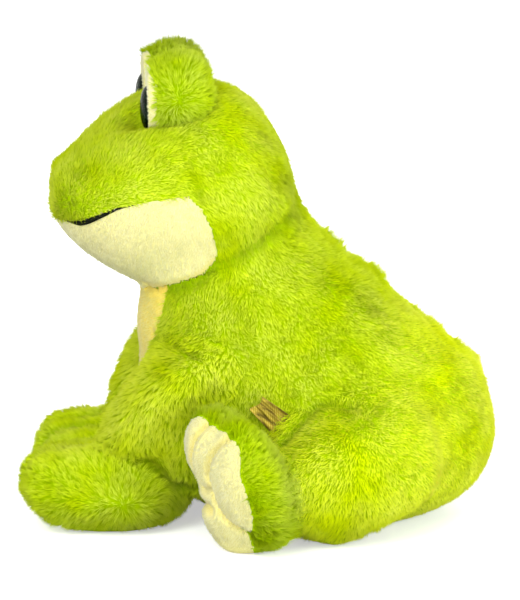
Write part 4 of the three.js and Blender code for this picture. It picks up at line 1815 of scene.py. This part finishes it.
def sew_panel(
    name: str,
    skin: Skin,
    pile: Pile,
    comb: Flow,
    finish: PileFinish,
    body: str,
    replaced: Sequence[str],
    length: Measure | None = None,
    bend: Bend | None = None,
    folds: Sequence[Fold] = (),
    tone_plus_painted_light: Measure | float = 0.0,
    core: Skin | None = None,
    lining: float = 1.4 * MM,
) -> bpy.types.Object:
    """A panel with its pile as one piece.

    Args:
        name: the piece's name.
        skin: the panel's surface.
        pile: the cut of its pile.
        comb: the way that the pile lies.
        finish: its colours.
        body: the body that carries it.
        replaced: the CAD nodes that it stands for.
        length: the share of the pile's length at each place.
        bend: the joint that it spans, if it does.
        folds: the creases that may cross it.
        tone_plus_painted_light: painted light, how much paler than the finish its pile is painted,
            below zero where painted shade makes it darker.
        core: a closed form under the cloth, seen where a moving joint opens it.
        lining: how thick the cloth is.

    Returns:
        The piece.
    """
    share = np.ones(len(skin.corners)) if length is None else length(skin.corners)
    height, lowest, matted = skin.corners[:, 2], 1.5 * MM, 0.35
    near_floor = matted + (1 - matted) * eased(height, 2 * MM, 9 * MM)
    share = share * np.where(height < lowest, 0.0, near_floor)
    # Near a crease the pile is cut shorter, and the same share lays painted shade.
    folded = fold_share(skin.corners, folds)
    tufts = grow_pile(skin, pile, comb, share * (1 - 0.45 * folded), folded)
    # Painted light: the whole panel painted paler, or painted shade where below zero.
    tufts.tones = tufts.tones + (tone_plus_painted_light(tufts.roots) if callable(tone_plus_painted_light) else tone_plus_painted_light)
    cloth = skin.lined(lining) if core is None else together([skin.lined(lining), core])
    mesh = piled_mesh(name, cloth, tufts, folds)
    piece = place_piece(name, mesh, body, finish, replaced, bend)
    return piece


@dataclass
class Head:
    """The head: upper skin, chin, mouth, eye hoods and eyes.

    Seams are given as shares of the head's length back from the nose, and of its height above
    its level. The socket is how far round each eye and in front of it the cloth is pressed in.
    The nod gives the two places of the throat's joint.
    """

    cloth: Cloth
    form: HeadForm = field(default_factory=HeadForm)
    lip: Sequence[tuple[float, float]] = (
        (-0.05, -0.14), (0.12, -0.095), (0.26, -0.022), (0.4, 0.016), (0.55, 0.045), (0.62, 0.04),
    )
    jaw_back: Sequence[tuple[float, float]] = (
        (0.53, 0.07), (0.544, 0.045), (0.585, -0.005), (0.634, -0.112), (0.66, -0.22),
        (0.66, -0.6),
    )
    jaw_base: Sequence[tuple[float, float]] = (
        (-0.05, -0.6), (0.3, -0.5), (0.44, -0.41), (0.581, -0.345), (0.638, -0.295), (0.66, -0.24),
    )
    socket_ring: float = 4 * MM
    socket_ahead: float = 34 * MM
    mouth_end: float = 0.33
    mouth_height: float = 3.3 * MM
    mouth_sweep: float = 1.25
    nod_from: tuple[float, float, float] = (0.0, -0.028, 0.163)
    nod_to: tuple[float, float, float] = (0.0, -0.0418, 0.1897)

    def lip_height(self, y: np.ndarray) -> np.ndarray:
        """The height of the seam between the upper head and the chin.

        Args:
            y: how far back each place is, in metres.

        Returns:
            One height for each.
        """
        share, rise = zip(*self.lip)
        along = (y - self.form.nose_y) / self.form.length
        return self.form.level + self.form.height * np.interp(along, share, rise)

    def chin_side(self, points: Points) -> np.ndarray:
        """On which side of the chin's seams each point lies.

        Args:
            points: places in metres.

        Returns:
            The distance inside the chin in metres, below zero outside it.
        """
        share, rise = zip(*reversed(self.jaw_back))
        along = (points[:, 1] - self.form.nose_y) / self.form.length
        up = (points[:, 2] - self.form.level) / self.form.height
        back = (np.interp(up, rise, share) - along) * self.form.length
        base = (up - np.interp(along, *zip(*self.jaw_base))) * self.form.height
        return np.minimum(np.minimum(self.lip_height(points[:, 1]) - points[:, 2], back), base)

    def comb(self, points: Points, normals: Points) -> Points:
        """Back from the nose over the forehead, then down behind the cheeks.

        Args:
            points: places in metres.
            normals: the cloth's normals there; not used.

        Returns:
            The pile's direction at each place.
        """
        share = (points[:, 1] - self.form.nose_y) / self.form.length
        behind = eased(share, 0.35, 0.75)[:, None]
        front = np.array([0.0, 1.0, 0.25])
        rear = np.array([0.0, 0.45, -1.0])
        return front * (1 - behind) + rear * behind

    def press_sockets(self, skin: Skin) -> None:
        """Presses the cloth down in front of each eye, which its stem pulls in.

        Args:
            skin: the head's cloth, whose corners are moved.
        """
        for side in Side:
            eye = EyeSet(side)
            middle, reach = eye.middle(), eye.rim + self.socket_ring
            across = skin.corners[:, 0] - middle.x
            ahead = middle.y - skin.corners[:, 1]
            depth = np.sqrt(np.maximum(reach**2 - across**2, 0))
            over = np.maximum(skin.corners[:, 2] - (middle.z - depth), 0) * (depth > 0)
            near = (1 - eased(ahead, 0, self.socket_ahead)) * eased(ahead, -14 * MM, -4 * MM)
            skin.corners[:, 2] -= over * near
        skin.corners = skin.relaxed(8).corners

    def clear_of_eyes(self, points: Points) -> np.ndarray:
        """Pile cut shorter near the plastic eyes.

        Args:
            points: places in metres.

        Returns:
            The share of the full length that stands at each place.
        """
        share = np.ones(len(points))
        for side in Side:
            eye = EyeSet(side)
            middle = eye.middle()
            ring = np.hypot(points[:, 0] - middle.x, points[:, 2] - middle.z)
            beside = 1 - eased(ring, eye.rim + 1 * MM, eye.rim + 5 * MM)
            level = 1 - eased(np.abs(points[:, 1] - middle.y + 2 * MM), 5 * MM, 10 * MM)
            share = np.minimum(share, 1 - 0.6 * beside * level)
        return share

    def build(self) -> None:
        """Makes the head's cloth and everything on it."""
        skin = self.cloth.part("head")
        self.press_sockets(skin)
        chin = skin.seamed(self.chin_side(skin.corners))
        bend = Bend("torso", "head", self.nod_from, self.nod_to)
        middles = skin.middles()
        for side in Side:
            near = middles[:, 0] * side.value > 0
            inside = [f"head_skin_{side.word}"] + ["head_filling"] * (side is Side.LEFT)
            # The head's pile is painted darker towards the back: painted shade.
            sew_panel(
                f"head_pile_{side.word}", skin.only(near & ~chin), SLEEK_PILE, self.comb, LIME,
                "head", inside, self.clear_of_eyes, bend=bend, folds=self.cloth.folds,
                tone_plus_painted_light=lambda p: -0.9 * eased(p[:, 1], -10 * MM, 30 * MM),
            )
        sew_panel(
            "jaw_pile", skin.only(chin), SHORT_PILE, steady(0, 0.3, -1), CREAM, "head",
            ["jaw_panel"], bend=bend, folds=self.cloth.folds,
        )
        self.mouth(skin)
        for side in Side:
            EyeSet(side).build()

    def mouth(self, skin: Skin) -> None:
        """Lays the black line round the nose between lip and chin.

        Args:
            skin: the head's cloth, which carries the line.
        """
        tree = skin.tree()
        axis_y = self.form.nose_y + 0.5 * self.form.length
        outside, tries = 300 * MM, 4
        rows = []
        for angle in np.linspace(-self.mouth_sweep, self.mouth_sweep, 90):
            out = Vector((math.sin(angle), -math.cos(angle), 0.0))
            z = self.lip_height(np.array([self.form.nose_y]))[0]
            for _ in range(tries):
                start = Vector((0, axis_y, z)) + out * outside
                hit, normal, _, _ = tree.ray_cast(start, -out)
                z = self.lip_height(np.array([hit.y]))[0]
            rows.append((np.array(hit), np.array(normal)))
        places, normals = np.array(rows).swapaxes(0, 1)
        normals = unit(normals)
        share = (places[:, 1] - self.form.nose_y) / self.form.length
        keep = share < self.mouth_end
        places, normals, share = places[keep], normals[keep], share[keep]
        full = np.clip((self.mouth_end - share) / (0.55 * self.mouth_end), 0.15, 1)
        full *= 0.15 + 0.85 * eased(share, 0.05, 0.13)
        tangent = unit(np.gradient(places, axis=0))
        down = unit(np.cross(tangent, normals))
        down *= np.sign(-down[:, 2:3])
        sides, lift, swell = 8, 0.9 * MM, 1.5 * MM
        lines = [
            places
            + down * (1 - math.cos(angle)) * (self.mouth_height / 2 * full)[:, None]
            + normals * ((lift + swell * math.sin(angle)) * full)[:, None]
            for angle in np.arange(sides)[::-1] * 2 * math.pi / sides
        ]
        mesh = tube_mesh("mouth_felt", np.stack(lines, axis=1))
        place_piece("mouth_felt", mesh, "head", BLACK_FELT, ["mouth_line"])


@dataclass
class EyeSet:
    """One eye: its hood of pile, the white round it, and the plastic eye.

    Each ring of the hood gives its share of the depth, of the full radius, and of the height
    that it is lifted by.
    """

    side: Side
    depth: float = 41 * MM
    width: float = 45 * MM
    height: float = 50 * MM
    rise: float = 6 * MM
    white: float = 4.5 * MM
    rim: float = 13.0 * MM
    pupil: float = 12.3 * MM
    dome: float = 4.6 * MM
    bulge: float = 3.9 * MM
    overhang: float = 2.1 * MM
    rings: Sequence[tuple[float, float, float]] = (
        (0, 0.78, -0.02), (0.08, 0.88, -0.01), (0.3, 0.98, 0.02), (0.55, 1, 0.05),
        (0.8, 0.84, 0.06), (0.94, 0.55, 0.04), (1, 0, 0.02),
    )

    def middle(self) -> Vector:
        """Where the eye's back meets the white, from the CAD eye."""
        low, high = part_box(f"eye_pupil_{self.side.word}")
        return Vector(((low.x + high.x) / 2, high.y, (low.z + high.z) / 2))

    @property
    def front(self) -> float:
        """Where the hood begins."""
        return self.middle().y - self.overhang

    def hood_skin(self) -> Skin:
        """The hood's outer surface.

        Returns:
            The surface, as triangles.
        """
        middle = self.middle()
        rings = [
            (middle.x, self.front + along * self.depth, middle.z + self.rise + lift * self.height,
             radius * self.width / 2, radius * self.height / 2, radius * self.height / 2)
            for along, radius, lift in self.rings
        ]
        return loft(rings, AXIS_X, AXIS_Z)

    def lathe(self, profile: Sequence[tuple[float, float]], name: str) -> bpy.types.Mesh:
        """A form turned about the eye's axis.

        Args:
            profile: radii, and distances forward.
            name: the mesh's name.

        Returns:
            The mesh, closed at both ends.
        """
        sides, middle = 72, self.middle()
        angle = np.arange(sides) * 2 * math.pi / sides
        rings = []
        for radius, ahead in profile:
            x, z = middle.x + radius * np.cos(angle), middle.z + radius * np.sin(angle)
            rings.append(np.column_stack([x, np.full(sides, middle.y - ahead), z]))
        return tube_mesh(name, rings)

    def dome_profile(self, radius: float, height: float, base: float) -> list[tuple[float, float]]:
        """A low dome's outline from its rim to its top."""
        steps = np.linspace(0, math.pi / 2 - 0.02, 16)
        return [(radius * math.cos(t), base + height * math.sin(t)) for t in steps]

    def build(self) -> None:
        """Makes the hood, the white and the eye."""
        word = self.side.word
        skin = remeshed(self.hood_skin(), 1.5 * MM).relaxed(3).moved(-2.0 * MM)
        middle, front = self.middle(), self.front
        up = (skin.corners[:, 2] - middle.z - self.rise) / (self.height / 2)
        out = self.side.value * (skin.corners[:, 0] - middle.x) / (self.width / 2)
        band = self.white * (1 - eased(up + 0.5 * out, 0.7, 0.95)) + 8 * MM * eased(-up, 0.3, 1.0)
        white = skin.seamed(front + 2 * MM + band - skin.corners[:, 1])

        def radiating(points: Points, normals: Points) -> Points:
            """Outwards from a whorl in the middle of the hood's side.

            Args:
                points: places in metres.
                normals: the cloth's normals there; not used.

            Returns:
                The pile's direction at each place.
            """
            whorl = np.array([self.side.value * self.width / 2, 0.4 * self.depth, self.rise])
            away = (points - np.array(middle) - whorl) / (20 * MM)
            return away * np.array([0.5, 1.0, 1.0])

        def clear_of_eye(points: Points) -> np.ndarray:
            """No pile behind the plastic eye.

            Args:
                points: places in metres.

            Returns:
                The share of the full length that stands at each place.
            """
            ring = np.hypot(points[:, 0] - middle.x, points[:, 2] - middle.z)
            flat = eased(points[:, 1], front + 2 * MM, front + 5 * MM)
            return np.maximum(flat, eased(ring, self.rim, self.rim + 2 * MM))

        # The hood's pile is painted darker all over: painted shade.
        sew_panel(
            f"hood_pile_{word}", skin.only(~white), FLUFFY_PILE, radiating, LIME, "head",
            [f"eye_hood_{word}"], tone_plus_painted_light=-1.3,
        )
        sew_panel(
            f"eye_white_pile_{word}", skin.only(white), SHORT_PILE, radiating, CREAM, "head",
            [f"eye_white_{word}"], clear_of_eye,
        )
        inner, edge = self.rim * 0.4, self.rim - 0.4 * MM
        rim = [(inner, -2.2 * MM), (edge, -2.2 * MM), (self.rim, -1.8 * MM),
               (self.rim, -0.4 * MM), (edge, 0.0), (inner, 0.1 * MM)]
        for part, profile, finish, node in (
            ("iris", rim, IRIS, "eye"),
            ("pupil", self.dome_profile(self.pupil, self.bulge, 0.15 * MM), PUPIL, "eye_pupil"),
            ("lens", self.dome_profile(self.rim, self.dome, 0.2 * MM), LENS, "eye_lens"),
        ):
            name = f"{part}_{word}"
            place_piece(name, self.lathe(profile, name), "head", finish, [f"{node}_{word}"])
        washer = frame["nodes"][f"eye_washer_{word}"]
        for slot in washer.material_slots:
            slot.material = WASHER.material()


@dataclass
class Torso:
    """The torso: two flanks, the chest and belly panel, and the base cloth."""

    cloth: Cloth
    chest_half: float = 44 * MM
    waist_half: float = 34 * MM
    middle_half: float = 38 * MM
    base_half: float = 30 * MM
    base_top: float = 1.6 * MM
    base_lining: float = 0.3 * MM
    form: TorsoForm = field(default_factory=TorsoForm)

    def chest_side(self, points: Points) -> np.ndarray:
        """On which side of the chest panel's seams each point lies.

        Args:
            points: places in metres.

        Returns:
            The distance inside the panel in metres, below zero outside it.
        """
        height = self.form.height
        half = np.interp(
            points[:, 2], [3 * MM, height / 4, 0.54 * height, 0.73 * height],
            [self.base_half, self.middle_half, self.waist_half, self.chest_half],
        )
        return np.minimum(half - np.abs(points[:, 0]), joint_place("neck_nod")[1] - points[:, 1])

    def build(self) -> None:
        """Makes the torso's cloth and the tag in its seam."""
        skin = self.cloth.part("torso")
        chest = skin.seamed(self.chest_side(skin.corners))
        middles = skin.middles()
        base = middles[:, 2] < self.base_top
        comb = steady(0, 0.3, -1)
        for side in Side:
            near = middles[:, 0] * side.value > 0
            # The rump is painted paler: painted light.
            sew_panel(
                f"torso_pile_{side.word}", skin.only(near & ~base & ~chest), LONG_PILE, comb,
                LIME, "torso", [f"torso_skin_{side.word}"],
                lambda p: 1 - 0.3 * rump(p) + 0.6 * tousled(p),
                folds=self.cloth.folds, tone_plus_painted_light=lambda p: 1.5 * rump(p),
            )
        sew_panel(
            "belly_pile", skin.only(chest & ~base), SHORT_PILE, comb, YELLOW, "torso",
            ["belly_panel"], folds=self.cloth.folds,
        )
        under = together([skin.only(base).lined(self.base_lining), self.cloth.core("torso")])
        place_piece(
            "base_cloth", plain_mesh("base_cloth", under.corners, [under.faces]), "torso",
            BASE_KNIT, ["base_panel", "torso_filling", "pellet_bag"],
        )
        SideTag().build()


@dataclass
class SideTag:
    """A plain folded ribbon in the left side seam, crinkled along its length."""

    width: float = 15 * MM
    length: float = 19 * MM
    thickness: float = 0.35 * MM
    tilt: float = TAG_TILT
    gathered: float = 0.3
    wave: float = 1.2 * MM

    def build(self) -> None:
        """Makes the ribbon where the CAD tag is."""
        low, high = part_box("side_tag")
        middle, half_x = (np.array(low) + np.array(high)) / 2, (high.x - low.x) / 2
        across, along = 40, 70
        rows = []
        for t in np.arange(along + 1) / along * 2 - 1:
            fold, out = abs(t), math.copysign(1.0, t)
            for s in np.arange(across + 1) / across * 2 - 1:
                crinkle = 0.9 * math.sin(7 * s + 2.2 * t) + 0.4 * math.sin(15 * s - 3 * t)
                flat_y = s * self.width / 2 * (1 - self.gathered * fold)
                drop = (1 - fold) * self.length + self.wave * math.sin(2.6 * s + 0.8)
                y = flat_y * math.cos(self.tilt) + drop * math.sin(self.tilt) - self.length * 0.42
                z = high.z - 3 * MM + flat_y * math.sin(self.tilt) - drop * math.cos(self.tilt)
                round_back = min(1.0, (1 - (2 * fold - 1) ** 2) + 0.1)
                bow = half_x * 0.75 * math.sqrt(max(0.0, round_back))
                x = out * bow * 0.5 + crinkle * 0.6 * MM + (3.5 + 4.5 * (1 - fold)) * MM
                rows.append((middle[0] + x, middle[1] + y, z))
        corners = np.array(rows)
        number = np.arange((across + 1) * along).reshape(along, across + 1)[:, :-1].ravel()
        faces = np.column_stack([number, number + 1, number + across + 2, number + across + 1])
        ribbon = Skin(corners, faces).lined(self.thickness)
        mesh = plain_mesh("side_ribbon", ribbon.corners, [ribbon.faces])
        piece = place_piece("side_ribbon", mesh, "torso", GOLD, ["side_tag"])


@dataclass
class Limbs:
    """The arm, leg and foot of one side, and the places given for the cloth's joints with them."""

    cloth: Cloth
    side: Side
    shoulder: Sequence[tuple[float, float, float]] = ((0, -0.045, 0.085), (0, -0.09, 0.05))
    hip: Sequence[tuple[float, float, float]] = ((0, 0.085, 0.05), (0, 0.045, 0.05))

    def arm_comb(self, points: Points, normals: Points) -> Points:
        """Down the arm, and out from the middle of the paw's side.

        Args:
            points: places in metres.
            normals: the cloth's normals there; not used.

        Returns:
            The pile's direction at each place.
        """
        low = 1 - eased(points[:, 2], 38 * MM, 60 * MM)[:, None]
        low = low * (1 - eased(points[:, 1], -70 * MM, -50 * MM)[:, None])
        whorl = ArmForm(self.side).heel_place + np.array([0, -0.045, 0.02])
        away = (points - whorl) * np.array([0, 0.8, 1.0]) / (20 * MM)
        return np.array([0.0, -0.15, -1.0]) * (1 - low) + away * low

    def arm(self) -> None:
        """Makes the arm as one piece."""
        word = self.side.word
        body = f"arm_{word}"
        # The arm is painted darker low down, as painted shade, and paler higher up, as painted
        # light.
        sew_panel(
            f"arm_pile_{word}", self.cloth.part(body), FLUFFY_PILE, self.arm_comb, LIME, body,
            [f"arm_skin_{word}", f"arm_filling_{word}"],
            bend=Bend("torso", body, *self.shoulder),
            folds=self.cloth.folds, tone_plus_painted_light=lambda p: 1.1 * eased(p[:, 2], 30 * MM, 60 * MM) - 0.5,
            core=self.cloth.core(body),
        )

    def leg(self) -> None:
        """Makes the leg as one piece."""
        word = self.side.word
        body = f"leg_{word}"

        def comb(points: Points, normals: Points) -> Points:
            """Out from the knee in front, then down with the rump's pile.

            Args:
                points: places in metres.
                normals: the cloth's normals there; not used.

            Returns:
                The pile's direction at each place.
            """
            rear = eased(points[:, 1], 35 * MM, 75 * MM)[:, None]
            front = np.array([self.side.value * 0.3, -0.5, -0.8])
            return front * (1 - rear) + np.array([0.0, 0.35, -1.0]) * rear

        # The leg is painted paler, most at the rump: painted light.
        sew_panel(
            f"leg_pile_{word}", self.cloth.part(body), LONG_PILE, comb, LIME, body,
            [f"leg_skin_{word}", f"leg_filling_{word}"], lambda p: 1 - 0.3 * rump(p),
            bend=Bend("torso", body, *self.hip),
            folds=self.cloth.folds, tone_plus_painted_light=lambda p: 1.2 + 0.3 * rump(p),
        )

    def foot(self) -> None:
        """Makes the foot's two pieces."""
        word = self.side.word
        body = f"foot_{word}"
        form = FootForm(self.side)
        axes = form.axes()
        skin = self.cloth.part(body)
        across, up, ahead = ((skin.corners - form.middle()) @ axes.T).T
        outer = eased(across, -4 * MM, 20 * MM) * (1 - 0.8 * eased(up, 14 * MM, 34 * MM))
        sole = skin.seamed(ahead - 4.5 * MM - 8 * MM * outer)

        def backward(points: Points, normals: Points) -> Points:
            """Away from the sole's edge, towards the leg."""
            return np.tile(0.3 * axes[1] - axes[2], (len(points), 1))

        # The foot's pile is painted darker: painted shade.
        sew_panel(
            f"foot_pile_{word}", skin.only(~sole), FLUFFY_PILE, backward, LIME, body,
            [f"foot_skin_{word}", f"foot_filling_{word}"], folds=self.cloth.folds, tone_plus_painted_light=-1.5,
        )
        sew_panel(
            f"sole_pile_{word}", skin.only(sole), SHORT_PILE, steady(0, 0, -1), CREAM, body,
            [f"foot_sole_{word}"], folds=self.cloth.folds,
        )

    def build(self) -> None:
        """Makes the three limbs of this side."""
        self.arm()
        self.leg()
        self.foot()


@dataclass
class Studio:
    """A plain pale room, soft lamps, and a long lens at the photograph's angle."""

    azimuth: float = math.radians(4)
    elevation: float = math.radians(9.5)
    distance: float = 2.4
    frame_height: float = 0.36
    sensor: float = 36.0
    floor_half: float = 6.0
    aim: tuple[float, float, float] = (0.0, 0.0015, 0.129)

    def camera(self) -> None:
        """Places the camera and makes it the scene's own."""
        level, rise = math.cos(self.elevation), math.sin(self.elevation)
        back = Vector((math.cos(self.azimuth) * level, -math.sin(self.azimuth) * level, rise))
        data = bpy.data.cameras.new("lens")
        data.sensor_width = self.sensor
        data.lens = self.sensor * self.distance / self.frame_height
        data.clip_end = 50.0
        camera = in_scene("camera", data)
        camera.location = Vector(self.aim) + back * self.distance
        camera.rotation_euler = self.turned_back(back)
        bpy.context.scene.camera = camera

    def turned_back(self, back: Vector) -> Euler:
        """The turn of a lamp or camera whose back points the given way."""
        return back.to_track_quat("Z", "Y").to_euler()

    def lamp(self, name: str, place: Sequence[float], size: float, power: float) -> None:
        """Hangs a square soft lamp turned to the toy.

        Args:
            name: the lamp's name.
            place: where it hangs.
            size: the length of its side.
            power: its strength in watts.
        """
        data = bpy.data.lights.new(name, "AREA")
        data.size = size
        data.energy = power
        lamp = in_scene(name, data)
        lamp.location = place
        lamp.rotation_euler = self.turned_back(Vector(place) - Vector(self.aim))

    def floor(self) -> None:
        """Lays a pale sheet under the toy."""
        corners = np.array([[-1, -1, 0], [1, -1, 0], [1, 1, 0], [-1, 1, 0]]) * self.floor_half
        mesh = plain_mesh("studio_floor", corners, [np.arange(4)[None]])
        mesh.materials.append(PALE_FLOOR.material())
        in_scene("studio_floor", mesh)

    def air(self) -> None:
        """Makes an even white sky, full white to the camera and gentler on the toy."""
        world = bpy.data.worlds.new("studio_air")
        bpy.context.scene.world = world
        world.use_nodes = True
        wire = Wiring(world.node_tree)
        strength = wire.scaled(wire.seen_directly(), factor=0.3, plus=0.8)
        wire.fill(world.node_tree.nodes["Background"], Color=WHITE, Strength=strength)

    def build(self) -> None:
        """Makes the room, the lamps and the camera."""
        self.camera()
        self.floor()
        self.air()
        self.lamp("key_lamp", (1.6, -0.75, 1.25), 1.2, 31.0)
        self.lamp("fill_lamp", (1.2, 1.6, 0.45), 1.4, 31.0)
        self.lamp("back_lamp", (-1.7, 0.5, 0.7), 1.2, 12.0)
        bpy.context.scene.view_settings.view_transform = "Standard"


def main() -> None:
    """Builds the studio and then each sub-assembly of the toy."""
    logging.basicConfig(level=logging.INFO, format="%(name)s: %(message)s")
    Studio().build()
    cloth = Cloth()
    Head(cloth).build()
    Torso(cloth).build()
    for side in Side:
        Limbs(cloth, side).build()
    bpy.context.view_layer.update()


if __name__ == "__main__":
    main()
